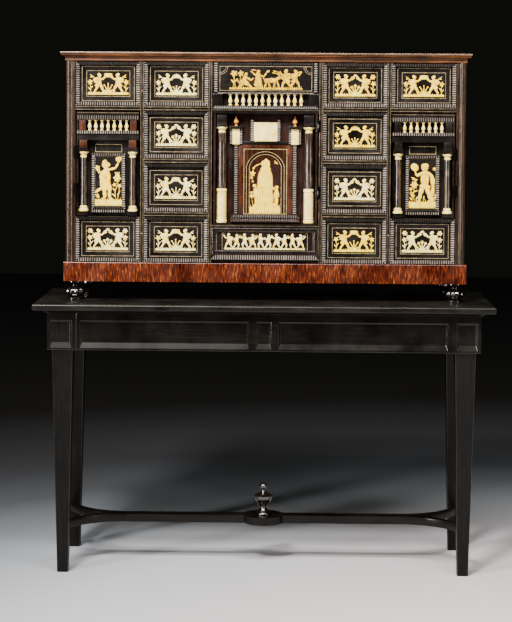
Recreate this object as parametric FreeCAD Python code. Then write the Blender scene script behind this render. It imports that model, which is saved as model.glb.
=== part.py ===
import FreeCAD, Part
import os

# A coin cabinet of ebonised wood with ivory plaques on its own side table.
# Millimetres. X runs to the right, Y to the back and Z up.
# The origin is on the floor under the table's middle.

V = FreeCAD.Vector
RIGHT = V(1, 0, 0)
LEFT = V(-1, 0, 0)
BACK = V(0, 1, 0)
FRONT = V(0, -1, 0)
UP = V(0, 0, 1)
DOWN = V(0, 0, -1)
FULL_TURN = 360

# Fits and clearances
seat_gap = 0.3
running_gap = 0.6
top_gap = 1.2
swing_gap = 1.4
overrun = 5

# Side table: the top and the moulding under it
table_width = 1300
table_depth = 470
table_thickness = 19
table_nose_radius = 6
stand_height = 774
frieze_inset = 38
cove_inset = 13
cove_height = 10
cove_lip = 2
cove_middle_share = (0.42, 0.36)

# Side table: the frieze rails with their sunk panels
apron_height = 114
rail_thickness = 22
panel_depth = 5
panel_top_margin = 31
panel_bottom_margin = 8
panel_bottom_splay = 13
panel_top_splay = 2.5
panel_side_splay = 4
panel_end_margin = 12
centre_block_width = 65
centre_block_margin = 12
centre_block_gap = 10

# Side table: the tapered legs
leg_head_width = 82
leg_top_width = 58
leg_foot_width = 31
leg_setback = 13
head_panel_outer_margin = 10
head_panel_inner_margin = 14

# Side table: the stretcher and its urn
stretcher_bottom = 114
stretcher_thickness = 22
stretcher_bar_width = 42
stretcher_disc_radius = 60
arm_length = 170
arm_end_width = 15
notch_length = 95
notch_bend_share = (0.56, 0.40)
urn_height = 92
urn_sides = 14
urn_radius = 26.5
urn_shares = (
    (0.90, 0.00), (0.90, 0.05), (0.72, 0.10), (0.46, 0.16), (0.36, 0.22), (0.36, 0.28), (0.52, 0.34),
    (0.80, 0.44), (0.97, 0.53), (1.00, 0.60), (0.90, 0.62), (0.55, 0.68), (0.26, 0.74), (0.22, 0.79),
    (0.43, 0.86), (0.43, 0.93), (0.20, 1.00),
)

# Cabinet: feet and plinth
cabinet_depth = 335
cabinet_back_inset = 15
foot_height = 54
foot_radius = 30
foot_sides = 12
foot_shares = (
    (0.72, 0.00), (0.82, 0.05), (0.66, 0.14), (0.88, 0.21), (0.88, 0.29), (0.74, 0.33), (1.00, 0.38),
    (1.00, 0.46), (0.58, 0.62), (0.60, 0.86), (0.80, 0.93), (0.80, 1.00),
)
plinth_height = 55
plinth_thickness = 18
plinth_bead_radius = 2.5
round_corner_share = 1 - 0.5 ** 0.5

# Cabinet: carcase boards
plinth_overhang = 6.5
side_thickness = 26
bottom_thickness = 18
back_thickness = 10
top_thickness = 19.5
row_heights = (133, 141, 138, 129)
dust_board = 11.5
drawer_opening = 186
centre_opening = 306
bays_each_side = 2
partition = 9
cornice_projection = 13
cornice_fillet = 3
cornice_band = 4.5
cornice_hollow_share = 0.25
cover_thickness = 6
cover_overhang = 16
cover_nose_radius = 2
stile_moulding_width = 12
stile_moulding_inset = 2
stile_moulding_proud = 4
stile_moulding_lip = 1

# Cabinet: the centre bay between the two middle partitions
centre_top_opening = 136
centre_lower_opening = 103
centre_sill = 8

# Drawers
drawer_setback = 2
frame_width = 12.5
frame_proud = 6
frame_bevel = 2
front_board = 12
sunk_side_margin = 19
sunk_height = 96
sunk_depth = 1.5
plaque_side_margin = 15.25
plaque_height = 64
plaque_thickness = 2
drawer_back_gap = 16.5
drawer_side = 7
drawer_bottom = 5
drawer_side_drop = 8

# The frieze drawer over the centre door, with its balustrade
frieze_panel_height = 87
frieze_panel_proud = 17
frieze_plaque_margin = 49
frieze_plaque_height = 59
frieze_plaque_drop = 19
frieze_ledge_height = 11
baluster_rail = 4
centre_pedestal_width = 28
centre_baluster_count = 12
centre_baluster_margin = 51.8
centre_baluster_radius = 5.7
baluster_sides = 6

# The low drawer under the centre door
low_frame_bottom_margin = 24
low_base_height = 15
low_base_proud = 4
low_base_reach = 3.5
low_plaque_margin = 37.5
low_plaque_height = 50

# Hinges
knuckle_radius = 2.3
knuckle_sides = 8
hinge_offset = 2.5
hinge_height = 34
hinge_plate = 1.2
hinge_reach = 7
hinge_pin_radius = 1.1
pin_clearance = 0.05
knuckle_gap = 0.2
knuckle_clear = 0.5
hinge_edge_gap = 1.5
centre_hinge_low = 75
centre_hinge_high = 265
side_hinge_low = 60
side_hinge_high = 165

# Centre door: leaf, cheeks and columns
centre_recess = 32
door_leaf = 12
cheek_width = 6
column_inset = 28.5
column_plinth_height = 4.5
column_plinth_width = 31
drum_ring_height = 7
drum_ring_radius = 15
drum_height = 90
drum_radius = 13.9
shaft_radius = 13
shaft_height = 159.5
capital_height = 17
capital_radius = 15.2
capital_sides = 10
capital_shares = ((0.82, 0.00), (0.74, 0.18), (0.84, 0.62), (1.00, 0.86), (1.00, 1.00))
impost_height = 34
impost_width = 28

# Centre door: portal and broken pediment
portal_panel_inset = 48
portal_panel_bottom = 27
portal_panel_height = 201
portal_panel_proud = 5
niche_side_margin = 23.5
niche_spring_height = 137
niche_rise = 42
niche_depth = 3
niche_sill = 2
portal_strip_gap = 1.5
portal_strip_width = 12.5
portal_strip_proud = 7
portal_base_inset = 25.5
portal_base_height = 21
portal_base_proud = 20
portal_base_step_share = 0.5
pediment_inset = 40.2
pediment_block_width = 20.6
pediment_block_height = 44
pediment_block_proud = 12
pediment_strip_width = 8
pediment_strip_proud = 9
pediment_cap_width = 40
pediment_cap_height = 8
pediment_cap_proud = 18
lintel_lift = 2
lintel_height = 7
lintel_proud = 9
tablet_inset = 50.3
tablet_height = 54
tablet_proud = 6
tablet_strip_width = 9
tablet_strip_height = 62
tablet_strip_proud = 8
flame_height = 29
flame_radius = 7.3
flame_sides = 6
flame_shares = ((0.60, 0.00), (0.60, 0.10), (0.34, 0.18), (1.00, 0.46), (0.72, 0.72), (0.10, 1.00))

# Side doors: leaf, order and balustrade
side_recess = 28
side_cheek_width = 4.5
side_column_inset = 22.5
side_plinth_height = 12.5
side_plinth_width = 27
side_base_height = 15.5
side_base_radius = 12
side_base_shares = ((1.00, 0.00), (1.00, 0.26), (0.78, 0.40), (0.90, 0.62), (0.70, 1.00))
side_shaft_height = 137.5
side_shaft_radius = 7.8
side_shaft_sides = 16
side_capital_height = 17
side_capital_radius = 13
side_abacus_height = 12
side_abacus_width = 27
side_block_height = 21.5
side_block_width = 22
entablature_height = 17
entablature_setback = 3
ledge_height = 10
balustrade_height = 29.5
balustrade_end_width = 18.3
balustrade_end_inset = 20
side_baluster_count = 7
side_baluster_margin = 40.2
side_baluster_radius = 5.4
baluster_shares = ((0.85, 0.00), (0.42, 0.14), (1.00, 0.40), (0.36, 0.86), (0.85, 1.00))
top_cornice_height = 24
top_cornice_step_share = 0.6
side_panel_inset = 21.75
side_panel_bottom = 16
side_panel_height = 162
side_frame_width = 10
side_frame_proud = 5
side_panel_proud = 2
side_base_strip_height = 9
side_base_strip_proud = 12

# Coin trays behind the centre door
tray_count = 3
tray_height = 26
tray_headroom = 2
tray_shelf = 6
tray_side_gap = 7.5
tray_front_gap = 7.5
tray_back_gap = 32
tray_rim = 6
tray_base = 4
tray_notch_radius = 14

# Levels and places that follow from the sizes above
table_underside = stand_height - table_thickness
apron_bottom = table_underside - apron_height
frieze_x = table_width / 2 - frieze_inset
frieze_y = table_depth / 2 - frieze_inset
leg_x = frieze_x - leg_setback - leg_top_width / 2
leg_y = frieze_y - leg_setback - leg_top_width / 2
cabinet_back = table_depth / 2 - cabinet_back_inset
plinth_front = cabinet_back - cabinet_depth
front_face = plinth_front + plinth_overhang
plinth_bottom = stand_height + foot_height
floor_level = plinth_bottom + plinth_height
ceiling_level = floor_level + sum(row_heights) + dust_board * (len(row_heights) - 1)
inside_back = cabinet_back - back_thickness
bay_step = drawer_opening + partition
centre_half = centre_opening / 2
inside_x = centre_half + bays_each_side * bay_step
carcase_x = inside_x + side_thickness
plinth_x = carcase_x + plinth_overhang
bay_a = (-inside_x, -inside_x + drawer_opening)
bay_b = (bay_a[0] + bay_step, bay_a[1] + bay_step)
bay_c = (-bay_b[1], -bay_b[0])
bay_d = (-bay_a[1], -bay_a[0])
row_floors = [floor_level + sum(row_heights[:i]) + dust_board * i for i in range(len(row_heights))]
row_tops = [low + height for low, height in zip(row_floors, row_heights)]
frieze_floor = ceiling_level - centre_top_opening
centre_door_top = frieze_floor - dust_board
low_drawer_top = floor_level + centre_lower_opening
centre_door_floor = low_drawer_top + centre_sill
side_door_floor = row_tops[0]
side_door_top = row_tops[2]
frame_face = front_face + drawer_setback
board_face = frame_face + frame_proud
board_back = board_face + front_board

# Widths that follow from the openings
sunk_width = drawer_opening - 2 * sunk_side_margin
plaque_width = sunk_width - 2 * plaque_side_margin
frieze_plaque_width = centre_opening - 2 * frieze_plaque_margin
low_plaque_width = centre_opening - 2 * low_plaque_margin
centre_baluster_pitch = (centre_opening - 2 * centre_baluster_margin) / (centre_baluster_count - 1)
column_offset = centre_half - column_inset
portal_panel_width = 2 * (column_offset - portal_panel_inset)
niche_width = portal_panel_width - 2 * niche_side_margin
portal_base_width = 2 * (column_offset - portal_base_inset)
pediment_offset = column_offset - pediment_inset
tablet_width = 2 * (pediment_offset - tablet_inset)
side_column_offset = drawer_opening / 2 - side_column_inset
side_panel_width = 2 * (side_column_offset - side_panel_inset)
balustrade_end_offset = drawer_opening / 2 - balustrade_end_inset
side_baluster_pitch = (drawer_opening - 2 * side_baluster_margin) / (side_baluster_count - 1)


def block(x0, x1, y0, y1, z0, z1):
    """A straight board between two corners."""
    return Part.makeBox(x1 - x0, y1 - y0, z1 - z0, V(x0, y0, z0))


def centred(middle, size):
    """The two ends of a stretch of this size round its middle."""
    return middle - size / 2, middle + size / 2


def closed_wire(items, place):
    """A closed outline. An item (a, b) ends a straight run; (am, bm, a, b) ends an arc through am, bm."""
    points = [place(*item[-2:]) for item in items]
    edges = []
    for i, here in enumerate(points):
        item = items[(i + 1) % len(items)]
        there = points[(i + 1) % len(items)]
        if len(item) == 2:
            edges.append(Part.makeLine(here, there))
        else:
            edges.append(Part.Arc(here, place(*item[:2]), there).toShape())
    return Part.Wire(edges)


def flat_sided(rings):
    """A solid with flat sides between rings of corners, one ring above the other."""
    faces = [Part.Face(Part.makePolygon(ring + ring[:1])) for ring in (rings[0], rings[-1])]
    for lower, upper in zip(rings, rings[1:]):
        for i, corner in enumerate(lower):
            j = (i + 1) % len(lower)
            faces.append(Part.Face(Part.makePolygon([corner, lower[j], upper[j], upper[i], corner])))
    solid = Part.Solid(Part.Shell(faces))
    if solid.Volume < 0:
        solid.reverse()
    return solid


def turned_in_flats(shares, sides, radius, height, x, y, z):
    """A small turned piece, worked in flats. Its outline is in shares of its radius and height."""
    rings = []
    for radius_share, height_share in shares:
        spoke = V(radius_share * radius, 0, 0)
        middle = V(x, y, z + height_share * height)
        turn = FreeCAD.Rotation(UP, FULL_TURN / sides)
        ring = []
        for _ in range(sides):
            ring.append(middle + spoke)
            spoke = turn.multVec(spoke)
        rings.append(ring)
    return flat_sided(rings)


def prism_in_flats(sides, radius, height, x, y, z):
    """A short upright cylinder worked in flats."""
    return turned_in_flats(((1, 0), (1, 1)), sides, radius, height, x, y, z)


def moulding(items, start, along, length, inward, proud, mitres):
    """A length of moulding whose section is (inward, proud) from the line at start.

    A mitre is 1 where the length shortens inwards, -1 where it lengthens and 0 where it is sawn square.
    """
    widths = [value for item in items for value in item[0::2]]
    heights = [value for item in items for value in item[1::2]]
    widest = max(widths)
    first = min(0, mitres[0]) * widest
    last = length - min(0, mitres[1]) * widest
    section = closed_wire(items, lambda u, p: start + along * first + inward * u + proud * p)
    bar = Part.Face(section).extrude(along * (last - first))
    if mitres == (0, 0):
        return bar
    low = min(heights) - overrun
    corners = ((0, 0), (length, 0), (length - mitres[1] * widest, widest), (mitres[0] * widest, widest))
    plan = closed_wire(corners, lambda a, u: start + along * a + inward * u + proud * low)
    return bar.common(Part.Face(plan).extrude(proud * (max(heights) + overrun - low)))


def flat_section(width, height, bevel):
    """A flat moulding with both front edges bevelled."""
    low = height - bevel
    return ((0, 0), (width, 0), (width, low), (width - bevel, height), (bevel, height), (0, low))


def front_frame(items, x0, x1, z0, z1, face):
    """Four mitred lengths round a panel that looks forwards."""
    return [
        moulding(items, V(x0, face, z0), RIGHT, x1 - x0, UP, FRONT, (1, 1)),
        moulding(items, V(x0, face, z1), RIGHT, x1 - x0, DOWN, FRONT, (1, 1)),
        moulding(items, V(x0, face, z0), UP, z1 - z0, RIGHT, FRONT, (1, 1)),
        moulding(items, V(x1, face, z0), UP, z1 - z0, LEFT, FRONT, (1, 1)),
    ]


def save(node, solids):
    """Writes one node, after a check that each of its solids is closed."""
    for solid in solids:
        if not solid.isValid() or solid.Volume <= 0 or len(solid.Solids) != 1:
            print(node, "holds a bad solid", solid.isValid(), solid.Volume, len(solid.Solids))
    shape = solids[0] if len(solids) == 1 else Part.makeCompound(solids)
    shape.exportStep("parts/" + node + ".step")
    print(node, len(solids), "solids", round(sum(solid.Volume for solid in solids) / 1000), "cm3")


def splayed_pocket(start, along, length, low, high, inward):
    """The cutter of a sunk panel with splayed edges. It begins at start, on the face, and looks inward."""
    rings = []
    for depth in (-overrun, panel_depth):
        share = depth / panel_depth
        side = panel_side_splay * share
        z0 = low + panel_bottom_splay * share
        z1 = high - panel_top_splay * share
        corners = ((side, z0), (length - side, z0), (length - side, z1), (side, z1))
        rings.append([start + along * a + UP * z + inward * depth for a, z in corners])
    return flat_sided(rings)


def table_top():
    """The slab, with its upper and lower edges rounded."""
    slab = block(*centred(0, table_width), *centred(0, table_depth), table_underside, stand_height)
    level = [edge for edge in slab.Edges if edge.BoundBox.ZLength < table_thickness / 2]
    return slab.makeFillet(table_nose_radius, level)


def cove():
    """Four mitred lengths of hollow moulding in the corner between the top and the frieze."""
    width = frieze_inset - cove_inset
    middle = (cove_middle_share[0] * width, cove_middle_share[1] * cove_height)
    section = ((0, 0), (width, 0), (width, cove_lip), middle + (cove_lip, cove_height), (0, cove_height))
    long_side = 2 * frieze_x
    short_side = 2 * frieze_y
    z = table_underside
    return [
        moulding(section, V(-frieze_x, -frieze_y, z), RIGHT, long_side, FRONT, DOWN, (-1, -1)),
        moulding(section, V(-frieze_x, frieze_y, z), RIGHT, long_side, BACK, DOWN, (-1, -1)),
        moulding(section, V(-frieze_x, -frieze_y, z), BACK, short_side, LEFT, DOWN, (-1, -1)),
        moulding(section, V(frieze_x, -frieze_y, z), BACK, short_side, RIGHT, DOWN, (-1, -1)),
    ]


def apron_rails():
    """Front, back and side rails between the leg heads. Their front and end faces have sunk panels."""
    low = apron_bottom + panel_bottom_margin
    high = table_underside - panel_top_margin
    inner_x = frieze_x - leg_head_width
    inner_y = frieze_y - leg_head_width
    front = block(-inner_x, inner_x, -frieze_y, rail_thickness - frieze_y, apron_bottom, table_underside)
    half_block = centre_block_width / 2
    long_panel = inner_x - panel_end_margin - half_block - centre_block_gap
    for start in (panel_end_margin - inner_x, half_block + centre_block_gap):
        front = front.cut(splayed_pocket(V(start, -frieze_y, 0), RIGHT, long_panel, low, high, BACK))
    small_panel = centre_block_width - 2 * centre_block_margin
    small_start = V(centre_block_margin - half_block, -frieze_y, 0)
    front = front.cut(splayed_pocket(small_start, RIGHT, small_panel, low, high, BACK))
    back = block(-inner_x, inner_x, frieze_y - rail_thickness, frieze_y, apron_bottom, table_underside)
    rails = [front, back]
    end_panel = 2 * (inner_y - panel_end_margin)
    for side, inward in ((-1, RIGHT), (1, LEFT)):
        x0, x1 = sorted((side * frieze_x, side * (frieze_x - rail_thickness)))
        rail = block(x0, x1, -inner_y, inner_y, apron_bottom, table_underside)
        start = V(side * frieze_x, panel_end_margin - inner_y, 0)
        rails.append(rail.cut(splayed_pocket(start, BACK, end_panel, low, high, inward)))
    return rails


def leg(side, depth_side):
    """A square tapered leg with its head block. The head's outer faces have sunk panels."""
    low = apron_bottom + panel_bottom_margin
    high = table_underside - panel_top_margin
    squares = []
    for z, width in ((0, leg_foot_width), (apron_bottom, leg_top_width)):
        half = width / 2
        corners = ((-half, -half), (half, -half), (half, half), (-half, half))
        squares.append([V(side * leg_x + a, depth_side * leg_y + b, z) for a, b in corners])
    shaft = flat_sided(squares)
    x0, x1 = sorted((side * frieze_x, side * (frieze_x - leg_head_width)))
    y0, y1 = sorted((depth_side * frieze_y, depth_side * (frieze_y - leg_head_width)))
    head = block(x0, x1, y0, y1, apron_bottom, table_underside)
    panel = leg_head_width - head_panel_outer_margin - head_panel_inner_margin
    margins = (head_panel_outer_margin, head_panel_inner_margin)
    if depth_side < 0:
        start = V(x0 + margins[0 if side < 0 else 1], -frieze_y, 0)
        head = head.cut(splayed_pocket(start, RIGHT, panel, low, high, BACK))
    start = V(side * frieze_x, y0 + margins[0 if depth_side < 0 else 1], 0)
    head = head.cut(splayed_pocket(start, BACK, panel, low, high, RIGHT if side < 0 else LEFT))
    return head.fuse(shaft).removeSplitter()


def stretcher_fork(side, legs):
    """The two arms that sweep from a pair of legs into the bar's end, with a pointed notch between them."""
    height = stretcher_bottom + stretcher_thickness / 2
    leg_half = (leg_foot_width + (leg_top_width - leg_foot_width) * height / apron_bottom) / 2
    x_bar, x_tip, x_end = leg_x - arm_length, leg_x - notch_length, leg_x + arm_end_width
    y_bar, y_leg = stretcher_bar_width / 2, leg_y - leg_half
    rise = y_leg - y_bar
    sweep_radius = (arm_length ** 2 + rise ** 2) / (2 * rise)
    half_run = arm_length / 2
    sweep = (x_bar + half_run, y_bar + sweep_radius - (sweep_radius ** 2 - half_run ** 2) ** 0.5)
    notch = (x_tip + (x_end - x_tip) * notch_bend_share[0], y_leg * notch_bend_share[1])
    outline = (
        (x_bar, 0), (x_bar, y_bar), (*sweep, leg_x, y_leg), (leg_x, leg_y), (x_end, leg_y), (x_end, y_leg),
        (*notch, x_tip, 0),
    )
    arms = []
    for depth_side in (-1, 1):
        wire = closed_wire(outline, lambda a, b: V(side * a, depth_side * b, stretcher_bottom))
        arm = Part.Face(wire).extrude(UP * stretcher_thickness)
        arms.append(arm.cut(legs[side, depth_side]))
    return arms


def stretcher_bar():
    """The flat bar with its round platform in the middle."""
    half = leg_x - arm_length
    half_width = stretcher_bar_width / 2
    top = stretcher_bottom + stretcher_thickness
    bar = block(-half, half, -half_width, half_width, stretcher_bottom, top)
    disc = Part.makeCylinder(stretcher_disc_radius, stretcher_thickness, V(0, 0, stretcher_bottom))
    return bar.fuse(disc).removeSplitter()


def plinth():
    """Four mitred boards with a rounded upper edge."""
    r = plinth_bead_radius
    t, h = plinth_thickness, plinth_height
    corner = r * round_corner_share
    section = ((0, 0), (t, 0), (t, h), (r, h), (corner, h - corner, 0, h - r))
    z = plinth_bottom
    return [
        moulding(section, V(-plinth_x, plinth_front, z), RIGHT, 2 * plinth_x, BACK, UP, (1, 1)),
        moulding(section, V(-plinth_x, cabinet_back, z), RIGHT, 2 * plinth_x, FRONT, UP, (1, 1)),
        moulding(section, V(-plinth_x, plinth_front, z), BACK, cabinet_depth, RIGHT, UP, (1, 1)),
        moulding(section, V(plinth_x, plinth_front, z), BACK, cabinet_depth, LEFT, UP, (1, 1)),
    ]


def cornice():
    """Three mitred lengths under the cover board: a small step, a hollow and a band."""
    w, h = cornice_projection, top_thickness
    f, band = cornice_fillet, cornice_band
    bend = (w - f) * cornice_hollow_share
    hollow = (f + bend, h - band - bend)
    section = ((0, 0), (f, 0), (f, f), hollow + (w - f / 2, h - band), (w, h - band), (w, h), (0, h))
    z = ceiling_level
    depth = cabinet_back - front_face
    return [
        moulding(section, V(-carcase_x, front_face, z), RIGHT, 2 * carcase_x, FRONT, UP, (-1, -1)),
        moulding(section, V(-carcase_x, front_face, z), BACK, depth, LEFT, UP, (-1, 0)),
        moulding(section, V(carcase_x, front_face, z), BACK, depth, RIGHT, UP, (-1, 0)),
    ]


def cover_board():
    """The thin top board over the cornice, with a rounded nose on three sides."""
    x = carcase_x + cover_overhang
    z = ceiling_level + top_thickness
    board = block(-x, x, front_face - cover_overhang, cabinet_back, z, z + cover_thickness)
    nose = []
    for edge in board.Edges:
        box = edge.BoundBox
        level = box.ZLength < cover_thickness / 2
        at_back = box.YMin > cabinet_back - cover_thickness
        if level and not at_back:
            nose.append(edge)
    return board.makeFillet(cover_nose_radius, nose)


def stile_mouldings():
    """A rounded strip on each side board's front edge."""
    w, lip = stile_moulding_width, stile_moulding_lip
    section = ((0, 0), (w, 0), (w, lip), (w / 2, stile_moulding_proud, 0, lip))
    height = ceiling_level - floor_level
    x = carcase_x - stile_moulding_inset
    return [
        moulding(section, V(-x, front_face, floor_level), UP, height, RIGHT, FRONT, (0, 0)),
        moulding(section, V(x, front_face, floor_level), UP, height, LEFT, FRONT, (0, 0)),
    ]


def dust_boards():
    """The level boards between the drawers, bay by bay."""
    boards = []
    for x0, x1 in (bay_b, bay_c):
        for top in row_tops[:-1]:
            boards.append(block(x0, x1, front_face, inside_back, top, top + dust_board))
    for x0, x1 in (bay_a, bay_d):
        behind_door = front_face + side_recess + door_leaf + tray_front_gap
        boards.append(block(x0, x1, behind_door, inside_back, row_tops[0], row_floors[1]))
        boards.append(block(x0, x1, front_face, inside_back, row_tops[2], row_floors[3]))
    for low, high in ((centre_door_top, frieze_floor), (low_drawer_top, centre_door_floor)):
        boards.append(block(-centre_half, centre_half, front_face, inside_back, low, high))
    return boards


def drawer_box(x0, x1, y0, z0, z1):
    """Two sides, a back and a bottom behind a drawer front. Its mouth is open at the top."""
    y1 = inside_back - drawer_back_gap
    top = z1 - drawer_side_drop
    return [
        block(x0, x0 + drawer_side, y0, y1, z0, top),
        block(x1 - drawer_side, x1, y0, y1, z0, top),
        block(x0 + drawer_side, x1 - drawer_side, y1 - drawer_side, y1, z0, top),
        block(x0 + drawer_side, x1 - drawer_side, y0, y1 - drawer_side, z0, z0 + drawer_bottom),
    ]


def small_drawer(bay, row):
    """A small drawer: its front board, mitred frame, sunk field, plaque and box."""
    x0, x1 = bay[0] + running_gap, bay[1] - running_gap
    z0, z1 = row_floors[row] + seat_gap, row_tops[row] - top_gap
    front = block(x0, x1, board_face, board_back, z0, z1)
    middle_x, middle_z = (x0 + x1) / 2, (z0 + z1) / 2
    field_x, field_z = centred(middle_x, sunk_width), centred(middle_z, sunk_height)
    field_floor = board_face + sunk_depth
    front = front.cut(block(*field_x, board_face - overrun, field_floor, *field_z))
    plaque_x, plaque_z = centred(middle_x, plaque_width), centred(middle_z, plaque_height)
    plaque = block(*plaque_x, field_floor - plaque_thickness, field_floor, *plaque_z)
    frame = front_frame(flat_section(frame_width, frame_proud, frame_bevel), x0, x1, z0, z1, board_face)
    return [front, plaque] + frame + drawer_box(x0, x1, board_back, z0, z1)


def row_of_balusters(middle_x, y, z, count, pitch, radius, height):
    """Turned balusters in an even row."""
    first = middle_x - pitch * (count - 1) / 2
    places = [first + pitch * i for i in range(count)]
    return [turned_in_flats(baluster_shares, baluster_sides, radius, height, x, y, z) for x in places]


def frieze_drawer():
    """The drawer over the centre door, in three nodes: front, balusters and box."""
    x0, x1 = running_gap - centre_half, centre_half - running_gap
    z0, z1 = frieze_floor + seat_gap, ceiling_level - top_gap
    face = frame_face + frieze_panel_proud
    back = face + front_board
    panel_bottom = z1 - frieze_panel_height
    front = [block(x0, x1, face, back, z0, z1)]
    front.append(block(x0, x1, frame_face, face, panel_bottom, z1))
    front.append(block(x0, x1, front_face, face, z0, z0 + frieze_ledge_height))
    plaque_top = z1 - frieze_plaque_drop
    plaque_x = centred(0, frieze_plaque_width)
    plaque_bottom = plaque_top - frieze_plaque_height
    front.append(block(*plaque_x, frame_face - sunk_depth, frame_face, plaque_bottom, plaque_top))
    stand = z0 + frieze_ledge_height
    rail_bottom = panel_bottom - baluster_rail
    front.append(block(x0, x1, frame_face, face, rail_bottom, panel_bottom))
    for start in (x0, x1 - centre_pedestal_width):
        front.append(block(start, start + centre_pedestal_width, frame_face, face, stand, rail_bottom))
    row_y = (frame_face + face) / 2
    height = rail_bottom - stand
    count, pitch = centre_baluster_count, centre_baluster_pitch
    balusters = row_of_balusters(0, row_y, stand, count, pitch, centre_baluster_radius, height)
    return front, balusters, drawer_box(x0, x1, back, z0, z1)


def low_drawer():
    """The low drawer under the centre door, with the projecting moulding on its foot."""
    x0, x1 = running_gap - centre_half, centre_half - running_gap
    z0, z1 = floor_level + seat_gap, low_drawer_top - top_gap
    front = [block(x0, x1, board_face, board_back, z0, z1)]
    section = flat_section(frame_width, frame_proud, frame_bevel)
    frame_bottom = z0 + low_frame_bottom_margin
    front += front_frame(section, x0, x1, frame_bottom, z1, board_face)
    plaque_x = centred(0, low_plaque_width)
    plaque_z = centred((frame_bottom + z1) / 2, low_plaque_height)
    front.append(block(*plaque_x, board_face - sunk_depth, board_face, *plaque_z))
    base_z = frame_bottom - low_base_height
    reach = centre_half + low_base_reach
    base_back = front_face - seat_gap
    front.append(block(-reach, reach, base_back - low_base_proud, base_back, base_z, frame_bottom))
    front.append(block(x0, x1, base_back, board_face, base_z, frame_bottom))
    return front, drawer_box(x0, x1, board_back, z0, z1)


def hinge(edge_x, toward_door, z):
    """The fixed leaf with its pin, and the door's leaf, of a hinge at the edge of an opening.

    toward_door is 1 where the door lies to the right of the pin and -1 where it lies to the left.
    """
    x = edge_x + toward_door * hinge_offset
    y = front_face - hinge_offset
    third = hinge_height / 3
    first, second, top = z + third, z + 2 * third, z + hinge_height
    stretches = ((z, first), (first + knuckle_gap, second - knuckle_gap), (second, top))

    def leaf(direction, z0, z1, knuckles):
        clear = knuckle_radius + knuckle_clear
        ends = sorted((x + direction * clear, x + direction * hinge_reach))
        shape = block(*ends, front_face - hinge_plate, front_face, z0, z1)
        for low, high in knuckles:
            bridge = sorted((x, x + direction * clear))
            shape = shape.fuse(block(*bridge, front_face - hinge_plate, front_face, low, high))
            shape = shape.fuse(prism_in_flats(knuckle_sides, knuckle_radius, high - low, x, y, low))
        return shape.removeSplitter()

    fixed = leaf(-toward_door, z, z + hinge_height, (stretches[0], stretches[2]))
    pin = Part.makeCylinder(hinge_pin_radius, hinge_height, V(x, y, z))
    fixed = fixed.fuse(pin).removeSplitter()
    moving = leaf(toward_door, z, z + hinge_height, (stretches[1],))
    bore = Part.makeCylinder(hinge_pin_radius + pin_clearance, hinge_height, V(x, y, z))
    return fixed, moving.cut(bore)


def column_x(offset):
    """The two places of a pair, left and right of the middle."""
    return -offset, offset


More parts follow.
